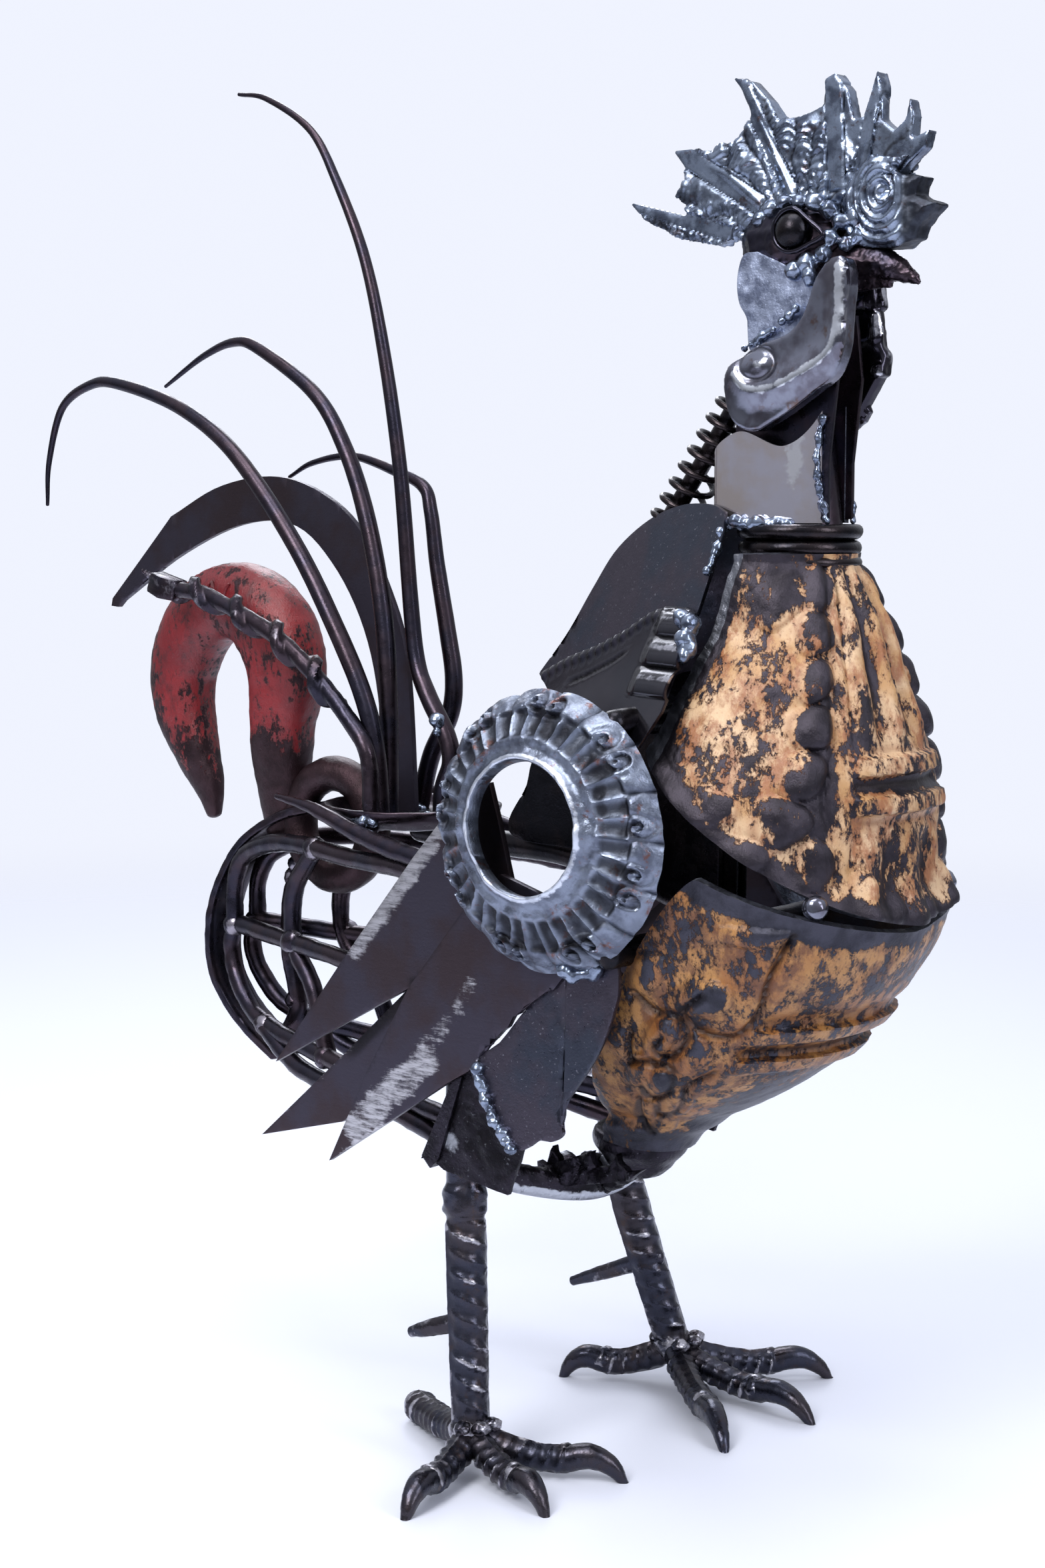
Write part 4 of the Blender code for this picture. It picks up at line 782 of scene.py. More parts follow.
def ring_relief(radius, height, angle):
    """Flutes, leaf scrolls and the worn inner lip, on rows of the ring's own radius and height."""
    front = height > 0.4 + 0 * angle
    outer = radius > RING_HOLE + 0.5
    skin = (front & outer & (height >= ring_dome(radius) - 0.6)).astype(float)
    lip = 1.2 * ridge(radius, 29.6, 1.7) - 1.3 * ridge(radius, 33.5, 2.8)
    sector = (angle * FLUTES / (2 * math.pi)) % 1 * 2 - 1
    deep = np.sqrt(1 - sector ** 2) * blend(radius, 36, 39.5) * (1 - blend(radius, 49.5, 53))
    flutes = 1.3 - 3.2 * deep
    place = angle * VOLUTES / (2 * math.pi)
    leaf = (place % 1) * 2 - 1
    flip = np.where(np.floor(place) % 2 > 0, 1.0, -1.0)
    run = leaf * math.pi / VOLUTES * radius
    swell = 2.0 * np.sqrt(np.clip(1 - leaf ** 2, 0, 1)) * blend(radius, 48, 52.5)
    dx, dr = run - flip * 4.6, radius - 52.8
    reach = np.hypot(dx, dr)
    curl = 2.4 * np.cos(reach * 1.7 - flip * np.arctan2(dr, dx)) * np.exp(-(reach / 4.4) ** 2)
    crack = -0.9 * ridge(np.abs(leaf), 1.0, 0.16) * blend(radius, 47, 51)
    seen = np.stack([radius * np.cos(angle), radius * np.sin(angle), height], -1)
    cast = 0.9 * noise(seen, 8, 3) + 0.45 * noise(seen, 3.2, 4)
    flutes = flutes * blend(radius, 36, 40) * (1 - blend(radius, 48, 51))
    raised = lip + flutes + swell + curl + crack + cast
    scallop = 1.6 * (np.sqrt(np.clip(1 - leaf ** 2, 0, 1)) - 0.75) * blend(radius, 54, 59)
    joints = 0.4 * ridge(np.abs(leaf), 1.0, 0.14) * blend(radius, 47, 51)
    dirt_and_shade = skin * np.clip(0.75 * blend(deep, 0.35, 1.0) + joints + 0.6 * blend(-curl, 0.2, 1.2)
                          + 0.3 * blend(noise(seen, 5, 8), 0.0, 0.6), 0, 1)
    wear_and_highlight = skin * np.clip(0.75 * (1 - blend(radius, 30, 32.5)) + 0.5 * blend(raised, 1.4, 3.2), 0, 1)
    return radius + scallop, height + raised * skin, wear_and_highlight, dirt_and_shade


def ring_dome(radius):
    return through(radius, (28, 34.2, 41.5, 49.7, 55, 59), (21, 19.5, 16.6, 12.6, 7.6, 2))


def rings():
    front = np.linspace(RING_HOLE, RING_RIM, 54)
    profile = list(zip(front, ring_dome(front)))
    back = np.linspace(RING_RIM - 3, RING_HOLE, 6)
    profile += [(radius, np.interp(radius, (28, 56), (15, 0))) for radius in back]
    centre = (RING_CENTRE[0], -RING_BACK, RING_CENTRE[1])
    form = turned(profile, 408, centre, (0, -1, 0), relief=ring_relief)
    height = -form.points[:, 1] - RING_BACK
    form.points[:, 0] += RING_LEAN[0] * height
    form.points[:, 2] += RING_LEAN[1] * height
    show_pair("wing_ring", form, "zinc", 60)


def edge_distance(x, z, first, last):
    """How far points lie from a line, and how far along it from 0 to 1."""
    run = np.subtract(last, first)
    share = ((x - first[0]) * run[0] + (z - first[1]) * run[1]) / (run @ run)
    away = np.hypot(x - first[0] - share * run[0], z - first[1] - share * run[1])
    return away, share


def patch(x, z, first, last, width):
    away, share = edge_distance(x, z, first, last)
    return blend(-away, -width, -width * 0.35) * blend(share, -0.05, 0.1) * (1 - blend(share, 0.9, 1.05))


def lower_marks(x, z):
    ground = np.maximum(0.85 * patch(x, z, (4, 140), (60, 188), 12),
                        0.55 * patch(x, z, (54, 186), (84, 222), 7))
    torn = 0.9 * patch(x, z, (79, 181), (126, 222), 1.6)
    rim = 0.6 * patch(x, z, (-5, 128), (79, 180), 1.0)
    return np.clip(ground + torn + rim, 0, 1), 0


def upper_wear_and_shadow(x, z):
    ground = 0.9 * patch(x, z, (2, 222), (70, 299), 12)
    # Painted shadow: the second mark darkens a band along this blade's lower edge, under the lower blade
    # that lies over it.
    return np.clip(ground, 0, 1), 0.9 * patch(x, z, (80, 232), (41, 212), 5)


def middle_wear_and_shadow(x, z):
    # Painted shadow: the second mark darkens a band across this blade under the lower edge of the upper
    # blade, which lies over it.
    return 0.5 * patch(x, z, (-55, 131), (38, 211), 1.2), 0.95 * patch(x, z, (-2, 176), (74, 240), 7)


BLADES = (
    ("wing_blade_lower", lower_marks,
     ((-5, 128), (18, 171), (44, 213), (79, 254), (97, 268), (118, 262), (137, 236), (132, 229), (126, 222),
      (123.5, 222.6), (121, 220), (116, 216.5), (110, 213), (107, 209.5), (104, 208), (101, 203), (98, 201),
      (95, 198), (91, 194.5), (88, 192), (84, 186), (79, 181), (66, 173.5), (45, 160), (20, 144))),
    ("wing_blade_upper", upper_wear_and_shadow,
     ((-42, 168), (1, 220), (44, 270), (75, 303), (88, 306), (93, 290), (98, 272), (102, 258), (80, 232),
      (41, 212))),
    ("wing_blade_middle", middle_wear_and_shadow,
     ((-55, 131), (-2, 176), (38, 211), (74, 240), (88, 214), (73, 200), (-3, 145))),
)


def blades():
    lowest = -(RING_BACK - WELD_GAP - BLADE / 2)
    for number, (name, marks, outline) in enumerate(BLADES):
        show_pair(name, plate(outline, BLADE, lowest + number * BLADE_PITCH, marks=marks), "ground")


def thigh_leaves():
    outline = smooth(((137, 234), (155, 237), (158, 226), (156, 216), (149, 199), (137, 181), (127, 169),
                      (130, 165), (131, 161), (126, 157.5), (119, 157), (104, 152), (80, 181), (96, 196),
                      (112, 214), (137, 234)), 60)[:-1]
    depth = -(RING_BACK - WELD_GAP - BLADE_PITCH - SHEET / 2)
    show_pair("thigh_leaf", plate(outline, SHEET, depth, lambda x, z: 0.05 * (z - 237)), "sheet")


def hip_relief(x, z):
    """Torch-burnt lumps beside the weld, in from the plate's right edge."""
    points = in_plane(x, z)
    burnt = ridge(np.hypot(x - 84, z - 158), 0, 16) * (0.6 + rough(points, 5))
    return -1.8 * burnt + 0.5 * rough(points, 3.5, 4)


def hip_plates():
    outline = ((69, 176), (78, 184), (86, 176), (107, 152), (98, 129), (61, 134), (54, 138), (48, 137),
               (56, 150))
    form = plate(outline, SHEET, -75.0, hip_relief, spacing=1.5,
                 marks=lambda x, z: (0.75 * ridge(np.hypot(x - 64, z - 147), 0, 9), 0.3))
    rib = ((50, 139), (55, 134), (60, 139), (74, 178), (69, 177))
    show_pair("hip_plate", form + plate(rib, 5.5, -75.5, spacing=4), "scorched")
    chain = weld_line([(x, -77.4 + 0.05 * (z - 237), z) for x, z in
                       ((84, 183), (87, 177), (90, 170), (94, 163), (99, 157), (104, 152))], 22, 2.6, 2)
    show_welds("hip_weld", recast(chain, 0.5, 2))


def shoulder_lean(x, z):
    return -33 - 0.33 * (x - 172) + 0.39 * (z - 395)


def shoulder_plates():
    outline = smooth(((172, 420), (162, 423), (143, 423), (122, 417), (103, 404), (92, 387), (81, 367),
                      (67, 349)), 40)
    outline = outline.tolist() + [(98, 342), (161, 344), (165, 362), (170, 381), (172, 395), (174, 412)]
    form = plate(outline, SHEET, 0, shoulder_lean, lambda x, z: (0.12 + 0 * x, 0), spacing=5)
    show_pair("shoulder_plate", form, "sheet")


def rope_lean(x, z):
    return -232.2 - 0.4436 * x + 0.695 * z


RIDGES = (374.5, 363, 351)
ROPE_PITCH = 6.2


def rope_layout(x, z):
    """The rope's line along the top edge, its strands, the ridged front and the run of the groove."""
    top = np.interp(x, (71, 89, 109, 126, 140, 151), (349, 357, 363, 370, 378, 381))
    strand = np.cos((x + 0.6 * z) * 2 * math.pi / ROPE_PITCH)
    return top, strand, blend(x, 146, 156), blend(x, 95, 102) * (1 - blend(x, 130, 138))


def rope_bend(x, z):
    """Three round ridges at the front, a slanting rope along the top edge and a fine groove below it."""
    top, strand, front, run = rope_layout(x, z)
    ridges = sum(4.2 * np.sqrt(np.clip(1 - ((z - level) / 5.6) ** 2, 0, 1)) for level in RIDGES)
    rope = 2.2 * ridge(z, top - 2.6, 2.2) * (0.55 + 0.45 * strand) * (1 - front)
    return rope_lean(x, z) - ridges * front - rope + 1.2 * ridge(z, top - 13, 0.8) * run


def rope_marks(x, z):
    top, strand, front, run = rope_layout(x, z)
    gaps = sum(ridge(z, level, 1.1) for level in (368.7, 357)) * front
    notch = ridge(z, top - 2.6, 3.0) * blend(-strand, 0.2, 0.8) * (1 - blend(x, 143, 150))
    # Painted highlights: a bright line laid as wear along the upper flank of each front ridge.
    crest_highlights = sum(ridge(z, level + 2.2, 1.7) for level in RIDGES) * front
    dirt_and_shade = 0.9 * gaps + 0.8 * notch + ridge(z, top - 13, 1.0) * run
    return np.clip(0.2 + 0.5 * crest_highlights, 0, 1), np.clip(dirt_and_shade, 0, 1)


def rope_plates():
    outline = ((71, 349), (89, 357), (109, 363), (126, 370), (140, 378), (151, 381), (165, 381), (175, 379),
               (178, 362), (178, 340), (172, 326), (130, 324), (98, 336))
    form = plate(outline, SHEET, 0, rope_bend, rope_marks, spacing=1.1, bevel=0.3)
    show_pair("rope_plate", form, "stamped", 50)


def body_frame():
    reach = RING_BACK - WELD_GAP

    def skin(points, length, angle):
        return 0.3 * rough(points, 7), 0.2, 0.2
    routes = (((156, -reach, 240, 6), (156, reach, 240, 6)), ((158, -reach, 335, 6), (158, reach, 335, 6)),
              ((156, 0, 240, 5.5), (158, 0, 335, 5.5)),
              ((156, 0, 243, 5.8), (120, 0, 256, 5.8), (70, 0, 266, 5.8), (30, 0, 268, 5.8),
               (-20, 0, 270, 5.8)))
    starts = ((0, 0, 1), (0, 0, 1), (0, 1, 0), (0, 1, 0))
    forms = [bar(smooth(route, 40), 14, skin, start=start) for route, start in zip(routes, starts)]
    web = smooth(((162, 352), (142, 352), (124, 342), (108, 326), (88, 314), (60, 311), (53, 296), (43, 280),
                  (50, 272), (90, 270), (104, 264), (130, 256), (160, 248)), 60)
    forms += [plate(web, 3.0, side * 9.0, spacing=8) for side in (-1, 1)]
    show_node("body_frame", total(forms), "black")


# Tail


def forged(depth=0.25, size=5.0, wear_and_highlight=0.2):
    """The skin of a forged bar: shallow dents, lightly worn on its high spots."""
    def skin(points, length, angle):
        dents = depth * rough(points, size)
        return dents, wear_and_highlight + dents / depth * 0.12, 0.0
    return skin


def tapered(points, diameter, count, tip=0.14, full_from=0.55):
    route = smooth(points, count)
    share = np.minimum(1.0, np.arange(count) / (count - 1) / full_from)
    radius = diameter / 2 * (tip + (1 - tip) * np.sin(share * math.pi / 2))
    return np.column_stack([route, radius])


TINES = {
    "tine_tall": ((-133, -5, 621), (-114, -5, 617), (-85, -5, 600), (-68, -5, 575), (-50, -5, 538),
                  (-38, -5, 494), (-28, -5, 439), (-22, -5, 380), (-17, -6, 350), (-8, -8, 334),
                  (3, -8, 317), (6, -8, 304), (1, -8, 291), (0, -8, 274)),
    "tine_arched": ((-183, -10, 482), (-155, -10, 496), (-133, -10, 502), (-116, -10, 498),
                    (-79, -10, 476), (-59, -10, 450), (-44, -11, 417), (-32, -13, 373), (-27, -15, 329),
                    (-26, -16, 274)),
    "tine_long": ((-252, -30, 423), (-250, -30, 445), (-239, -30, 472), (-217, -30, 483),
                  (-196, -30, 483), (-156, -30, 472), (-123, -30, 455), (-97, -30, 432), (-71, -30, 402),
                  (-51, -30, 373), (-31, -29, 337), (-23, -28, 309), (-20, -28, 274)),
    "tine_far": ((-141, 35, 437), (-124, 35, 444), (-97, 35, 447), (-70, 35, 440), (-50, 35, 432),
                 (-44, 34, 420), (-39, 33, 394), (-31, 31, 364), (-25, 29, 340), (-26, 27, 322),
                 (-35, 24, 303), (-42, 22, 274)),
}


def tines():
    for name, route in TINES.items():
        line = tapered(route, 9.0, 120, tip=0.2, full_from=0.9)
        show_node(name, bar(line, 18, forged(0.05, 5.0, 0.0), ends=(0.8, 0.4)), "dark")


def sickle_blade():
    outer = smooth(((-202, 417), (-166, 432), (-127, 437), (-95, 430), (-68, 413), (-48, 383), (-36, 347),
                    (-31, 274)), 40)
    inner = smooth(((-51, 274), (-54, 327), (-64, 364), (-84, 394), (-111, 413), (-150, 413), (-196, 397),
                    (-239, 373)), 40)
    outline = [(-248, 370), (-247, 374)] + outer.tolist() + inner.tolist() + [(-243, 369.5)]
    form = plate(outline, BLADE, 10, bend=lambda x, z: 1.2 * np.sin(x / 40), spacing=6)
    show_node("sickle_blade", form, "ground")


def auger_bit():
    route = ((-162, 382), (-135, 380), (-118, 375), (-85, 362), (-58, 345), (-33, 323), (-21, 306),
             (-20, 274))
    line = smooth([(x, -35 - 0.02 * (x + 24), z) for x, z in route], 230)

    def worm(points, length, angle):
        phase = (length / 30.0 - angle / (2 * math.pi)) % 1 * 2 - 1
        worm_part = blend(length, 4, 12) * (1 - blend(length, 128, 138))
        flange = 3.5 * (1 - blend(np.abs(phase), 0.15, 0.32)) * worm_part
        dents = 0.2 * rough(points, 4)
        dirt_and_shade = 0.5 * ridge(np.abs(phase), 0.38, 0.08) * worm_part
        return flange + dents, 0.15 + 0.3 * blend(flange, 2, 3.4), dirt_and_shade
    stem = bar(thick(line, 4), 30, worm)
    head = bar([(-167, -32.6, 385, 5.3), (-160, -32.4, 382.5, 5.8), (-151, -32.3, 381, 5.2)], 24,
               forged(0.2, 3.0, 0.5), ends=(0.2, 0.3), square=7)

    def thread(points, length, angle):
        return 0.5 * np.cos(length * 2 * math.pi / 2.4 - angle), 0.5, 0.0
    screw = smooth([(-165, -32.5, 385, 2.4), (-172, -32, 388, 1.5), (-178, -32, 390.5, 0.5)], 40)
    show_node("auger_bit", stem + head + bar(screw, 12, thread), "dark")


def hook_skin(points, length, angle):
    """Forging notches along the hook's back and paint lost low down; the few shallow stamped strokes are
    added beside it in crane_hook.
    """
    x, z = points[..., 0], points[..., 2]
    outside = blend(np.cos(angle - math.pi / 2), 0.75, 0.95)
    notched = outside * blend(length, 30, 50) * (1 - blend(length, 120, 140))
    notches = -1.1 * notched * blend(np.cos(length * 2 * math.pi / 7.5), 0.7, 0.95)
    cast = 0.35 * rough(points, 9, 3) + 0.15 * noise(points, 3, 5)
    gone = np.clip(0.7 * blend(318 - z, 0, 40) * blend(x, -140, -125) + 0.45 * blend(330 - z, 0, 50)
                   + 0.3 * blend(-x, 180, 194), 0, 1)
    return notches + cast, gone, 0.6 * blend(-notches, 0.5, 1.0)


def crane_hook():
    line = ((-162, 267, 4), (-165, 280, 8), (-174, 298, 12.5), (-182, 318, 16), (-183, 340, 18),
            (-173, 360, 19), (-158, 372, 19), (-141, 375, 19.5), (-125, 369, 21), (-113, 355, 21.5),
            (-109, 338, 20), (-112, 318, 17.5), (-113, 298, 15.5), (-112, 280, 13), (-110, 264, 11))
    body = bar(smooth([(x, 0, z, radius) for x, z, radius in line], 200), 48, hook_skin, ends=(0.7, 0.7),
               flat=(0.8, 1.0), square=2.4)
    turn = np.linspace(0, 2 * math.pi, 73)[:-1]
    ring = thick(in_plane(-76 + 25 * np.cos(turn), 268 + 25 * np.sin(turn)), 8.5)

    def eye_skin(points, length, angle):
        return 0.5 * rough(points, 8, 2), 0.75, 0.0
    eye = bar(ring, 24, eye_skin, loop=True)
    strokes = []
    for number, (x, z) in enumerate(((-158, 379), (-151, 381), (-144, 382), (-137, 381))):
        lean = 3.0 if number % 2 else -2.0
        route = ((x, -15.0, z - 3, 0.9), (x + lean * 0.4, -15.3, z, 1.1), (x + lean, -15.0, z + 3, 0.8))
        strokes.append(bar(route, 8, lambda points, length, angle: (0.0, 0.0, 0.15), start=(1, 0, 0)))
    show_node("crane_hook", total([body, eye] + strokes), "red")


def tail_plate():
    profile = half_profile(((0, 3), (20, 3), (30, 3), (36, 5), (40, 8), (43, 8.4), (43.5, 7), (42, 4),
                            (38, 1), (33, -1), (20, -1), (0, -1)), 70)
    form = turned(profile, 96, (-26, 0, 274), (0, 0, 1), wrap=False)
    form.points[:, 1] *= 0.95
    form.points[:, 2] += 0.35 * rough(form.points, 7)
    form.wear_and_highlight = 0.3 * ridge(np.hypot(form.points[:, 0] + 26, form.points[:, 1] / 0.95), 42, 2.5)
    show_node("tail_plate", form, "dark")


def side_spikes():
    route = ((-72, -44, 286), (-49, -44, 282), (-18, -44, 272), (8, -44, 266), (40, -46, 262),
             (80, -58, 262))
    show_pair("side_spike", bar(tapered(route, 9.0, 90, tip=0.3), 16, forged(0.25, 5.0, 0.1)), "dark")


def cage_side(x):
    """Where the plane of the right-hand fork head lies in y."""
    return -9 - 0.22 * (x + 135)


def fork_cages():
    loop = ((30, 255), (3, 258), (-35, 258), (-81, 260), (-110, 257), (-131, 248), (-139, 234), (-140, 215),
            (-143, 202), (-138, 187), (-124, 172), (-102, 165), (-73, 161), (-30, 156), (20, 150), (64, 146))
    rows = ((loop, 190, 0.0), (((-141, 214), (-106, 212), (-49, 209), (20, 203), (60, 196)), 60, 1.3),
            (((-114, 167), (-82, 151), (-40, 146), (9, 143), (62, 132)), 60, -1.1),
            (((-68, 260), (-86, 240), (-90, 222), (-86, 206), (-72, 190), (-60, 159)), 50, 2.1),
            (((57, 199), (62, 170), (64, 130)), 24, -2.3))
    forms = []
    for route, count, inward in rows:
        points = [(x, cage_side(x) + inward, z, 4.5) for x, z in route]
        forms.append(bar(smooth(points, count), 16, forged(0.35, 6.0, 0.1)))
    for x, z in ((-140, 213), (-112, 166), (-68, 259), (-60, 159), (-88, 212)):
        forms.append(blob((x, cage_side(x), z), (6.4, 5.2, 6.0), int(-x), 0.12))
    show_pair("fork_cage", total(forms), "dark")


def rear_band():
    middle = smooth(((-84, 0, 279), (-104, 0, 274), (-123, 0, 265), (-139, 0, 253), (-153, 0, 232),
                     (-159, 0, 213), (-158, 0, 190), (-148, 0, 173), (-130, 0, 158), (-113, 0, 148)), 110)
    step = np.gradient(middle, axis=0)
    step /= np.linalg.norm(step, axis=1)[:, None]
    middle = middle + 2.5 * np.column_stack([-step[:, 2], 0 * step[:, 0], step[:, 0]])
    form = bar(thick(middle, 1), 40, forged(0.35, 6.0, 0.2), ends=(0.5, 0.5), flat=(11, 2.5), square=7)
    show_node("rear_band", form, "dark")


def rear_strut():
    route = ((-96, 0, 250), (-106, 0, 234), (-109, 0, 215), (-108, 0, 198), (-103, 0, 175), (-112, 0, 158))
    form = bar(thick(smooth(route, 80), 4.5), 16, forged(0.3, 5.0, 0.2))
    knots = [blob((x, 0, z), size, number, 0.2) for number, (x, z, size) in
             enumerate(((-99, 247, 6.5), (-104, 239, 6.0), (-105, 178, 5.5)))]
    show_node("rear_strut", total([form] + knots), "dark")


# Legs


FEET = (
    ("right", (74, -73), ((10, -38), (132, -92), (134, -40), (89, -132))),
    ("left", (71, 80), ((25, 51), (146, 18), (126, 133), (156, 73))),
)


def rib_skin(pitch, height, slant, first=0.0, last=1e9):
    """Crescent ribs and two long ridges, as on reinforcing bar, between two lengths along it."""
    def skin(points, length, angle):
        ribbed = blend(length, first, first + 3) * (1 - blend(length, last - 3, last))
        round_half = (angle / math.pi) % 1
        phase = (length / pitch + slant * round_half + 0.37 * (np.sin(angle) > 0)) % 1 - 0.5
        crescent = np.abs(np.sin(angle)) ** 0.7
        patchy = blend(noise(points, 9, 6), -0.5, 0.5)
        rib = ridge(phase, 0, 0.19) * crescent
        long_rib = np.exp(-(np.sin(angle) / 0.16) ** 2)
        dents = 0.22 * rough(points, 4, 2)
        lift = height * np.maximum(rib * (0.6 + 0.4 * patchy), 0.7 * long_rib) * ribbed
        wear_and_highlight = (0.75 * rib * patchy + 0.35 * long_rib) * ribbed
        wear_and_highlight = wear_and_highlight + 0.25 * blend(noise(points, 14, 3), 0.0, 0.6)
        return lift + dents, wear_and_highlight, 0.3 * (1 - blend(rib, 0.0, 0.3)) * ribbed
    return skin


CLAWED = ((0.0, 0.8, 0.95), (0.2, 0.56, 0.84), (0.45, 0.4, 0.78), (0.62, 0.40, 0.80), (0.70, 0.46, 0.80),
          (0.78, 0.48, 0.78), (0.87, 0.40, 0.66), (0.95, 0.20, 0.48), (1.0, -0.05, 0.28))
BLUNT = ((0.0, 0.8, 0.98), (0.25, 0.62, 0.9), (0.5, 0.46, 0.88), (0.75, 0.36, 0.9), (0.98, 0.31, 0.95))


def toe(ankle, contact, number, blunt=False):
    """A ribbed toe to a smooth hooked claw, or one that is cut off square."""
    across = np.subtract(contact, ankle)
    route = [(ankle[0] + across[0] * share, ankle[1] + across[1] * share, 22 * rise, 7 * size)
             for share, rise, size in (BLUNT if blunt else CLAWED)]
    reach = math.hypot(*across)
    last = reach * (1.0 if blunt else 0.68)
    form = bar(smooth(route, 108), 24, rib_skin(6.2, 1.5, 0.8, reach * 0.12, last),
               ends=(0.6, 0.1 if blunt else 0.8), start=(0, 0, 1), square=2.3)
    if blunt:
        form.wear_and_highlight[form.points[:, 0] < contact[0] + 1] = 0.8
        return form
    knuckle = np.array(route[3][:3])
    return form + blob(knuckle + (0, 0, 0.6), (6.0, 6.0, 6.0), number, 0.22)


def feet():
    for name, ankle, contacts in FEET:
        forms = [toe(ankle, contact, number, name == "right" and number == 0)
                 for number, contact in enumerate(contacts)]
        forms.append(blob((*ankle, 18), (9.5, 9.5, 9), 4, 0.14))
        for number, contact in enumerate(contacts):
            drop = np.add(ankle, np.subtract(contact, ankle) / 7.0)
            forms.append(blob((*drop, 22), (4.0, 4.0, 3.2), 9 + number, 0.25))
        form = total(forms)
        form.points[:, 2] = np.maximum(form.points[:, 2], 0.0)
        show("foot_worked_" + name, form, "bar", ("foot_" + name,))


def legs():
    tops = (("right", (63, -66, 190), (66, -67, 110), (74, -73), (57, -69, 62), (37, -71, 55)),
            ("left", (42, 64, 150), (52, 65, 100), (71, 80), (60, 72, 60), (13, 74, 40)))
    for name, top, knee, ankle, root, tip in tops:
        line = smooth([(*top, 6.8), (*knee, 8.4), (*ankle, 18, 7.6)], 170)
        clear = top[2] - 112
        ribs = rib_skin(9.2, 1.6, 1.25, clear, 1e9)

        def skin(points, length, angle):
            lift, wear_and_highlight, dirt_and_shade = ribs(points, length, angle)
            sleeve = blend(length, clear - 16, clear - 12) * (1 - blend(length, clear - 3, clear))
            return lift + (1.5 + 0.7 * noise(points, 3.5, 3)) * sleeve, wear_and_highlight + 0.2 * sleeve, dirt_and_shade
        form = bar(line, 40, skin, start=(0.6, 1, 0))
        root = np.array(root, float)
        inside = root + (root - tip) / np.linalg.norm(root - tip) * 8
        spur = bar(smooth([(*inside, 4.4), (*root, 4.3), (*((root + tip) / 2), 3.8), (*tip, 2.4)], 40), 18,
                   forged(0.2, 4.0, 0.35), flat=(0.7, 1.0))
        show("leg_worked_" + name, form + spur, "bar", ("leg_" + name,))


def belly_frame():
    cross = ((66, -62, 135), (77, -40, 125), (87, -8, 118), (78, 34, 117), (55, 60, 120))

    def torn(points, length, angle):
        low = blend(-np.cos(angle), -0.1, 0.4) * blend(np.sin(angle), -0.5, 0.1)
        return rough(points, 6, 4) * 1.3 * (1 - low), 0.85 * low, 0.0
    route = thick(smooth(cross, 110), 6.2)
    forms = [bar(route, 28, torn, square=4, start=(0, 0, 1))]
    forms.append(bar(smooth([(84, 0, 116, 5.7), (98, 0, 123, 5.7), (112, 0, 132, 5.7)], 40), 20, torn))
    lumps = ((82, -26, 124, 6), (85, -18, 126, 7), (88, -8, 127, 6), (95, 4, 128, 6), (80, -34, 125, 5),
             (101, -6, 130, 6), (84, 16, 124, 6))
    for number, (x, y, z, size) in enumerate(lumps):
        forms.append(blob((x, y, z), size, number, 0.45))
    flame = ((72, 124), (75, 131), (79, 129), (83, 139), (86, 132), (93, 135), (96, 131), (101, 133),
             (105, 140), (107, 133), (116, 135), (119, 141), (125, 134), (133, 136), (126, 130), (112, 127),
             (92, 122))
    forms.append(plate(flame, 4.0, -26.0, lambda x, z: 1.6 * rough(in_plane(x, z), 5, 2), spacing=1.5))
    show_node("belly_frame", total(forms), "scorched")


# Head and neck


def eyes():
    for name, side in (("right", -1), ("left", 1)):
        ball = blob((198.5, side * 14.6, 533.4), 7.8, 3, 0.0, fine=5)
        ball.wear_and_highlight[:] = 0.0
        show("eyeball_" + name, ball, "black", ("eye_" + name,))
    turn = np.linspace(0, 2 * math.pi, 97)[:-1]
    front = np.clip(np.cos(turn), 0, 1)
    across = 199 + 8.8 * np.cos(turn) + 5.6 * front ** 4
    up = 533.4 + 8.6 * np.sin(turn) * (1 - 0.4 * front ** 2) - 2.6 * front ** 2
    path = thick(np.column_stack([across, front - 17.4, up]), 1.1)
    show_pair("eye_rim", bar(path, 12, forged(0.1, 2.0, 0.2), loop=True), "stamped")


def casting(depth, size, wear_and_highlight=0.2, fine=0.0):
    def relief(points, normals):
        height = depth * rough(points, size, 2) + fine * noise(points, size / 6, 7)
        return height, np.clip(wear_and_highlight + height / depth * 0.2, 0, 1), np.clip(-height / depth * 0.4, 0, 1)
    return relief


def skull():
    show_node("skull", recast("skull", 1.1, 4, casting(0.7, 5.0, 0.15, 0.25)), "dark")
    show_node("beak", recast("beak", 0.6, 5, casting(0.3, 3.0, 0.2, 0.2)), "dark")


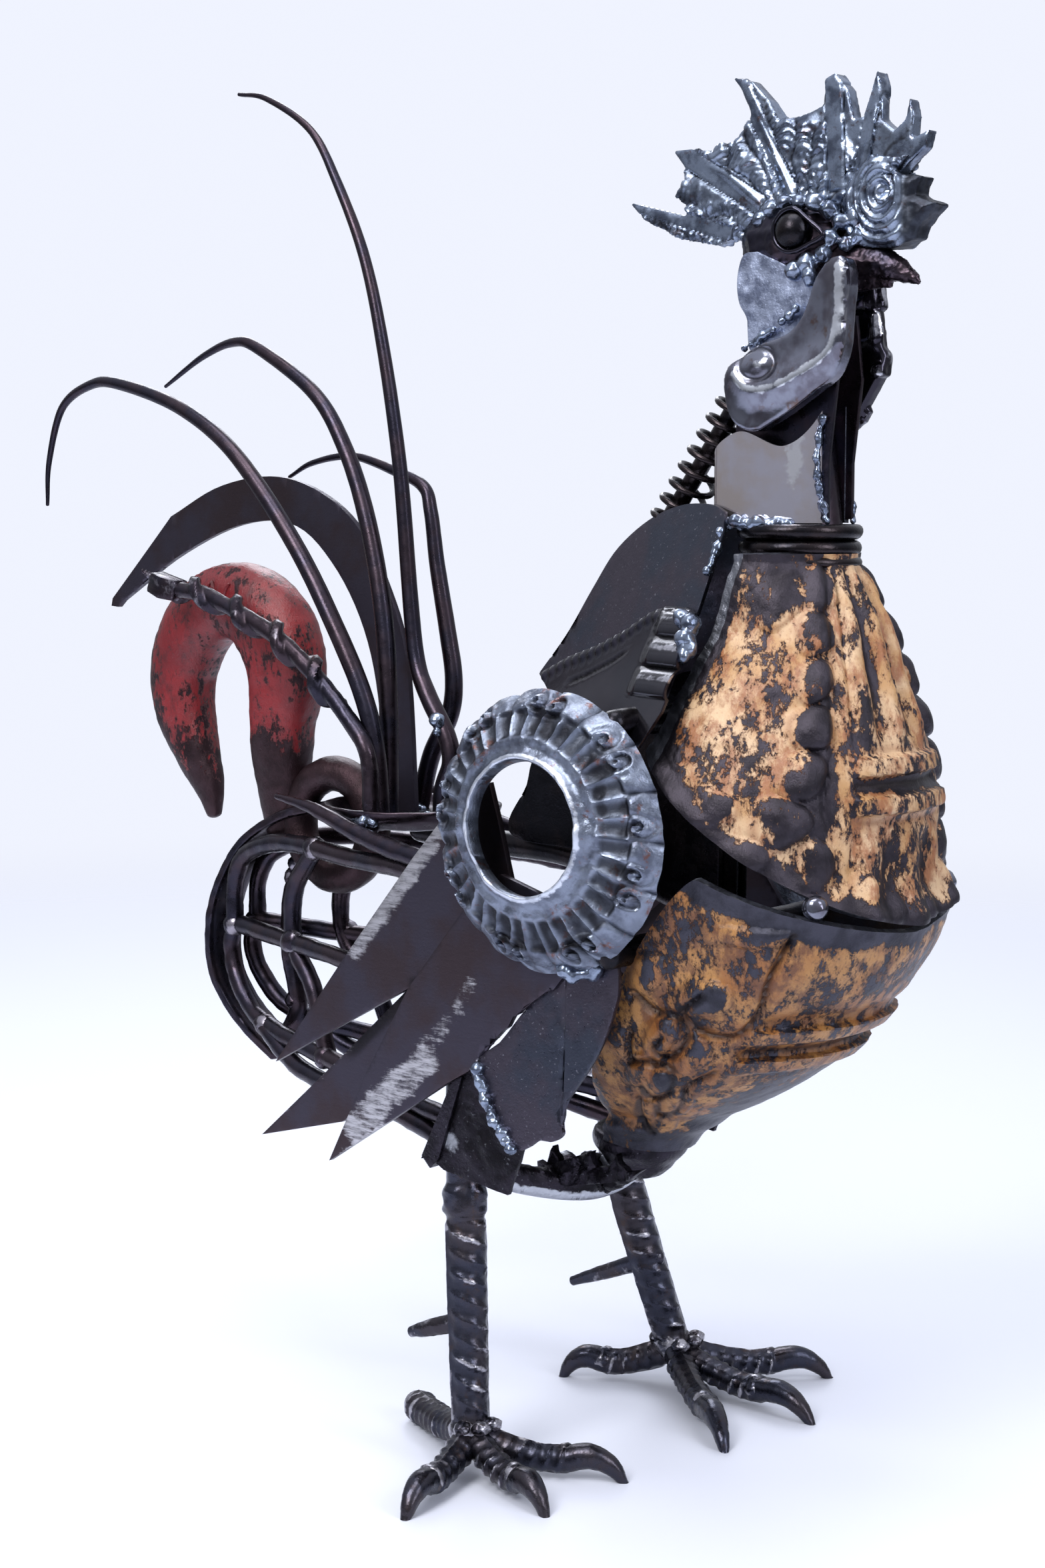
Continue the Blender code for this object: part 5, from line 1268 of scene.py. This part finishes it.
def wattles():
    crest = smooth(((227, 517, 0), (227, 498, 0), (224, 486, 0), (213, 478, 0), (197, 471, 0), (184, 470, 0),
                    (177, 476, 0)), 160)

    def polished(points, normals):
        """A rolled edge along the crest, hollow above it, with an almond boss at the low end."""
        x, z = points[:, 0], points[:, 2]
        away = np.min(np.hypot(x[:, None] - crest[None, :, 0], z[:, None] - crest[None, :, 1]), axis=1)
        flank = blend(-normals[:, 1], 0.4, 0.9)
        boss = 2.4 * np.exp(-(((x - 188) / 6.0) ** 2 + ((z - 480) / 3.8) ** 2))
        groove = -1.0 * ridge(np.hypot((x - 187) * 0.8, z - 480), 6.4, 1.3)
        height = flank * (3.4 * ridge(away, 0, 6.0) + boss + groove) + 0.3 * rough(points, 12, 3)
        # Painted highlight: a bright band laid as wear along the crest on the outward flank; the boss is
        # worn a little as well.
        wear_and_highlight = 0.1 + 0.75 * ridge(away, 0, 2.4) * flank + 0.4 * blend(boss, 1.2, 2.2)
        return height, np.clip(wear_and_highlight, 0, 1), 0.5 * blend(-groove, 0.3, 0.8) * flank
    outline = smooth(((220, 520), (228, 520), (230, 510), (229, 498), (228, 485), (223, 474), (214, 468),
                      (203, 461), (193, 456), (186, 453), (177, 455), (172, 461), (170, 470), (172, 477),
                      (180, 484), (187, 488), (195, 490), (203, 493), (209, 501), (214, 513), (220, 520)),
                     90)[:-1]
    form = recast(plate(outline, 8.0, -19.0, bevel=3.2), 0.7, 11, polished)
    show("wattle_worked_right", form, "steel", ("wattle_right",))

    def bumpy(points, normals):
        spots = 2.0 * blend(noise(points, 5.5, 6), 0.0, 0.5)
        return spots + 0.2 * rough(points, 5), 0.2 + 0.2 * spots, 0.3 * (1 - blend(spots, 0, 0.6))
    form = recast("wattle_left", 0.85, 4, bumpy)
    show("wattle_worked_left", form, "stamped", ("wattle_left",))


def cheek_plates():
    outline = smooth(((181, 526), (174, 525), (171, 516), (172, 506), (176, 499), (178, 486), (189, 487),
                      (200, 492), (209, 508), (198, 518), (181, 526)), 60)[:-1]
    form = plate(outline, SHEET, -14.3, lambda x, z: 0.3 * noise(in_plane(x, z), 4, 2),
                 lambda x, z: (0.3 + 0 * x, 0.0), spacing=1.5)
    show_pair("cheek_plate", form, "cheek")


PRONGS = (((178, 544), (132, 571), 6.0), ((192, 546), (163, 598), 5.0), ((212, 546), (209, 594), 6.0),
          ((222, 552), (230, 592), 4.6), ((163, 534), (106, 552), 4.5))


def comb_relief(points, normals):
    """Columns of rippled weld between the prongs, which are ground flat."""
    x, z = points[:, 0], points[:, 2]
    reach, angle = np.hypot(x - 192, z - 526), np.degrees(np.arctan2(z - 526, x - 192))
    wobble = 2.2 * noise(points, 9, 5)
    column = ((angle + 1.6 * wobble) / 13.0) % 1 * 2 - 1
    curved = reach - 3.0 * (1 - column ** 2) + 1.4 * noise(points, 6, 9)
    ripple = np.abs(np.sin(math.pi * curved / 3.4)) * blend(noise(points, 11, 11), -0.7, 0.0)
    web = 1 - blend(reach + 0.35 * (x - 192), 50, 60)
    bead = web * (1.6 * np.sqrt(1 - column ** 2) + 0.7 * ripple + 0.8 * rough(points, 5, 6))
    on_prong = 0.0
    for first, last, width in PRONGS:
        away, share = edge_distance(x, z, first, last)
        on_prong = np.maximum(on_prong, blend(-away, -width * 0.85, -width * 0.6) * blend(share, 0.02, 0.1))
    facing = blend(np.abs(normals[:, 1]), 0.3, 0.8)
    height = bead * facing * (1 - on_prong) - 0.9 * ridge(on_prong, 0.5, 0.3) + 0.6 * on_prong * facing
    wear_and_highlight = np.where(on_prong > 0.5, 0.25, np.clip(0.1 + 0.3 * web * blend(ripple, 0.4, 1.0), 0, 1))
    dirt_and_shade = 0.55 * blend(np.abs(column), 0.75, 1.0) + 0.5 * (1 - blend(ripple, 0.0, 0.45))
    dirt_and_shade = (1 - on_prong) * dirt_and_shade + 0.7 * ridge(on_prong, 0.5, 0.25)
    return height, wear_and_highlight, np.clip(dirt_and_shade * facing, 0, 1)


def curl_relief(points, normals):
    x, z = points[:, 0], points[:, 2]
    reach = np.hypot(x - 235, (z - 546) * 0.85)
    facing = blend(np.abs(normals[:, 1]), 0.3, 0.8)
    back = 1 - blend(x, 242, 246)
    ripple = np.abs(np.sin(math.pi * reach / 3.4))
    hole = -2.2 * ridge(np.hypot(x - 237, z - 547), 0, 2.6)
    height = facing * back * (1.3 * ripple + hole + 1.2 * ridge(reach, 7, 5)) + 0.35 * rough(points, 4, 4)
    wear_and_highlight = np.clip(0.4 * back * facing * blend(ripple, 0.3, 1.0), 0, 1)
    return height, wear_and_highlight, np.clip(0.85 * (1 - back * facing) + 0.4 * (1 - ripple) * back, 0, 1)


def comb():
    show_node("comb", recast("comb", 0.74, 2, comb_relief), "weld")
    curl = recast("comb_front_curl", 0.66, 3, curl_relief)
    show("comb_curl_worked", curl, "weld", ("comb_front_curl",))


def cowl_surface(u, share, plain):
    run = (u + 1) / 2 + 0 * share
    stops = (0, 0.2, 0.36, 0.52, 0.76, 0.92, 1)
    x = through(run, stops, (158, 158, 163, 176, 197, 207, 211))
    y = through(run, stops, (1, 11, 18, 20.5, 17.5, 13, 9))
    top = through(run, stops, (438, 440, 447, 453, 447, 455, 463))
    z = top + (415.5 - top) * share
    # Painted highlight: shine lays a bright streak as wear down the upper front part of the cowl.
    shine = ridge(run, 0.82, 0.06) * (1 - blend(share, 0.35, 0.75))
    return np.stack([x, -y, z], -1), 0.2 + 0.7 * shine, 0 * run


def throat_surface(u, share, plain):
    z = 512 - 97 * share
    x = through(z, (415, 445, 460, 482, 512), (208, 204, 202, 207, 207))
    points = np.stack(np.broadcast_arrays(x + 4 * (1 - u * u), u * 9, z + 0 * u), -1)
    return points, 0.7 * blend(-u, 0.84, 0.95) + 0 * z, 0 * z * u


def neck():
    cowl = shell(cowl_surface, 60, 30, 1.9, (188, 0, 430))
    show_pair("neck_cowl", cowl, ("cowl", "edge", "inner"))
    strip = shell(throat_surface, 24, 60, 2.4, (180, 0, 460))
    throat = ((168, 474), (167, 452), (182, 444), (198, 438), (201, 417), (213, 417), (213, 440), (217, 474),
              (214, 500), (190, 500))
    for side in (-1, 1):
        strip = strip + plate(throat, 2.0, side * 9.0, spacing=6)
    show_node("throat_strip", strip, ("dark", "edge", "inner"))
    route = smooth(((116, 0, 404, 4), (122, 0, 412, 4), (163, 0, 469, 4), (180, 0, 500, 5),
                    (188, 0, 512, 5)), 60)
    show_node("neck_rod", bar(route, 20, forged(0.15, 4.0, 0.1)), "black")


def spring():
    """A coil round the neck rod."""
    low, high = np.array((122.0, 0, 412)), np.array((163.0, 0, 469))
    along = (high - low) / np.linalg.norm(high - low)
    side = np.array((0.0, 1, 0))
    up = np.cross(along, side)
    steps = np.linspace(0, 1, SPRING_TURNS * 30)[:, None]
    turn = steps * SPRING_TURNS * 2 * math.pi
    middle = low + (high - low) * (0.04 + 0.94 * steps) - up * 1.4
    coil = middle + 8.9 * (np.cos(turn) * side + np.sin(turn) * up)
    show_node("neck_spring", bar(thick(coil, 1.4), 10, forged(0.02, 3.0, 0.05)), "black")


HEAD_DROPS = (
    (186, -12, 543, 4), (192, -12, 545, 3.6), (199, -12, 545, 3.4), (206, -11, 544, 4), (212, -9, 541, 4.4),
    (217, -9, 536, 4), (215, -13, 530, 3.4), (220, -10, 527, 3.6), (213, -15, 523, 3.6),
    (206, -16, 520, 4.4), (200, -16, 517, 4.2), (208, -17, 514, 3.8), (224, -7, 530, 3.8),
    (222, -7, 538, 4.2), (178, -9, 540, 4),
)


def head_welds():
    head = [blob(drop[:3], drop[3], number, 0.25, fine=2) for number, drop in enumerate(HEAD_DROPS)]
    head += [form.mirrored() for form in head]
    chin = ((176, -16, 487), (184, -17, 491), (193, -18, 495), (202, -18.5, 502))
    head.append(weld_line(chin, 9, 2.0, 4))
    show("head_welds", recast(total(head), 0.74, 1), "weld")


def seam_welds():
    """Runs along the neck's foot, the shoulder's front, the rope plate's end and the blades' foot."""
    runs = ((((160, -15, 416), (168, -20, 415.5), (178, -23, 415.5), (188, -22, 415.5), (199, -18, 415.5)),
             20, 2.6, 1),
            (((172, -27, 412), (172, -30, 404), (171, -35, 396)), 8, 2.0, 3),
            (((171, -53, 377), (176, -54, 375), (178, -57, 369), (177, -60, 363)), 9, 4.0, 5),
            (((137, -88, 233), (143, -84, 231), (149, -79, 233)), 7, 3.2, 6))
    show_welds("seam_welds", recast(total([weld_line(*run) for run in runs]), 0.7, 1))


def small_welds():
    """Drips down the throat's edge and beads round the feet of the tines."""
    drips = weld_line(((211, -11, 458), (209, -11.5, 446), (209, -11.5, 436), (210, -11, 428),
                       (213, -10, 416)), 26, 1.6, 2)
    drips = drips + drips.mirrored()
    tail = weld_line(((0, -12, 324), (2, -12, 319)), 3, 3.0, 2)
    bases = [weld_line(((x - 6, y - 3, 277.5), (x, y - 6, 277.5), (x + 6, y - 3, 277.5)), 6, 2.6, number)
             for number, (x, y) in enumerate(((0, -8), (-26, -16), (-20, -28), (-42, 22), (-20, -35)))]
    show("small_welds", recast(total([drips, tail] + bases), 0.7, 1), "weld")


# Studio


def camera():
    made = bpy.data.objects.new("camera", bpy.data.cameras.new("camera"))
    bpy.context.scene.collection.objects.link(made)
    made.data.lens = 60
    made.data.sensor_width = 36
    made.location = (0.8025, -0.910, 0.423)
    made.rotation_euler = (math.radians(83.9), 0, math.radians(40))
    bpy.context.scene.camera = made


def soft_box(name, azimuth, elevation, distance, size, power, colour=(1, 1, 1)):
    """A square lamp round the bird: azimuth 0 stands at -Y, 90 at +X."""
    lamp = bpy.data.lights.new(name, "AREA")
    lamp.shape = "RECTANGLE"
    lamp.size, lamp.size_y = size
    lamp.energy = power
    lamp.color = colour
    item = bpy.data.objects.new(name, lamp)
    bpy.context.scene.collection.objects.link(item)
    turn, rise = math.radians(azimuth), math.radians(elevation)
    back = Vector((math.sin(turn) * math.cos(rise), -math.cos(turn) * math.cos(rise), math.sin(rise)))
    item.location = Vector(LAMP_TARGET) + back * distance
    item.rotation_euler = back.to_track_quat("Z", "Y").to_euler()


def floor():
    mesh = bpy.data.meshes.new("floor")
    disc = bmesh.new()
    bmesh.ops.create_circle(disc, cap_ends=True, segments=96, radius=2.4)
    disc.to_mesh(mesh)
    disc.free()
    item = bpy.data.objects.new("floor", mesh)
    bpy.context.scene.collection.objects.link(item)
    kit = Finish("pale_floor")
    colour = kit.mix(kit.noise(300), (0.62, 0.64, 0.73), (0.63, 0.65, 0.73))
    kit.done(colour, 0.55, 0.0)
    away = kit.node("VectorMath", {0: kit.place}, output="Value", operation="LENGTH")
    kit.put(kit.shader.inputs["Alpha"], kit.step(away, 0.7, 2.2, 1.0, 0.0))
    mesh.materials.append(kit.material)


def studio():
    world = bpy.data.worlds.new("studio")
    bpy.context.scene.world = world
    world.use_nodes = True
    tree = world.node_tree
    sky = tree.nodes["Background"]
    heading = tree.nodes.new("ShaderNodeSeparateXYZ")
    tree.links.new(tree.nodes.new("ShaderNodeTexCoord").outputs["Generated"], heading.inputs[0])
    rise = tree.nodes.new("ShaderNodeMapRange")
    for number, value in enumerate((-0.15, 0.75, 0.22, 0.95), 1):
        rise.inputs[number].default_value = value
    tree.links.new(heading.outputs["Z"], rise.inputs[0])
    seen = tree.nodes.new("ShaderNodeMix")
    tree.links.new(tree.nodes.new("ShaderNodeLightPath").outputs["Is Camera Ray"], seen.inputs[0])
    tree.links.new(rise.outputs[0], seen.inputs[2])
    seen.inputs[3].default_value = 1.0
    tree.links.new(seen.outputs[0], sky.inputs["Strength"])
    sky.inputs["Color"].default_value = (0.87, 0.90, 1.0, 1.0)
    soft_box("key", 8, 40, 1.7, (0.6, 0.9), 24)
    soft_box("fill", 88, 22, 1.9, (0.5, 1.2), 13, (0.90, 0.93, 1.0))
    soft_box("top", 30, 82, 1.6, (0.9, 0.9), 15)
    soft_box("back", 225, 35, 1.9, (0.8, 0.9), 13, (0.90, 0.93, 1.0))
    bpy.context.scene.view_settings.view_transform = "Standard"


for make in (camera, studio, floor, breast, collars, rivets, rings, blades, thigh_leaves, hip_plates,
             shoulder_plates, rope_plates, body_frame, tines, sickle_blade, auger_bit, crane_hook,
             tail_plate, side_spikes, fork_cages, rear_band, rear_strut, feet, legs, belly_frame, eyes,
             skull, wattles, cheek_plates, comb, neck, spring, head_welds, seam_welds, small_welds):
    make()
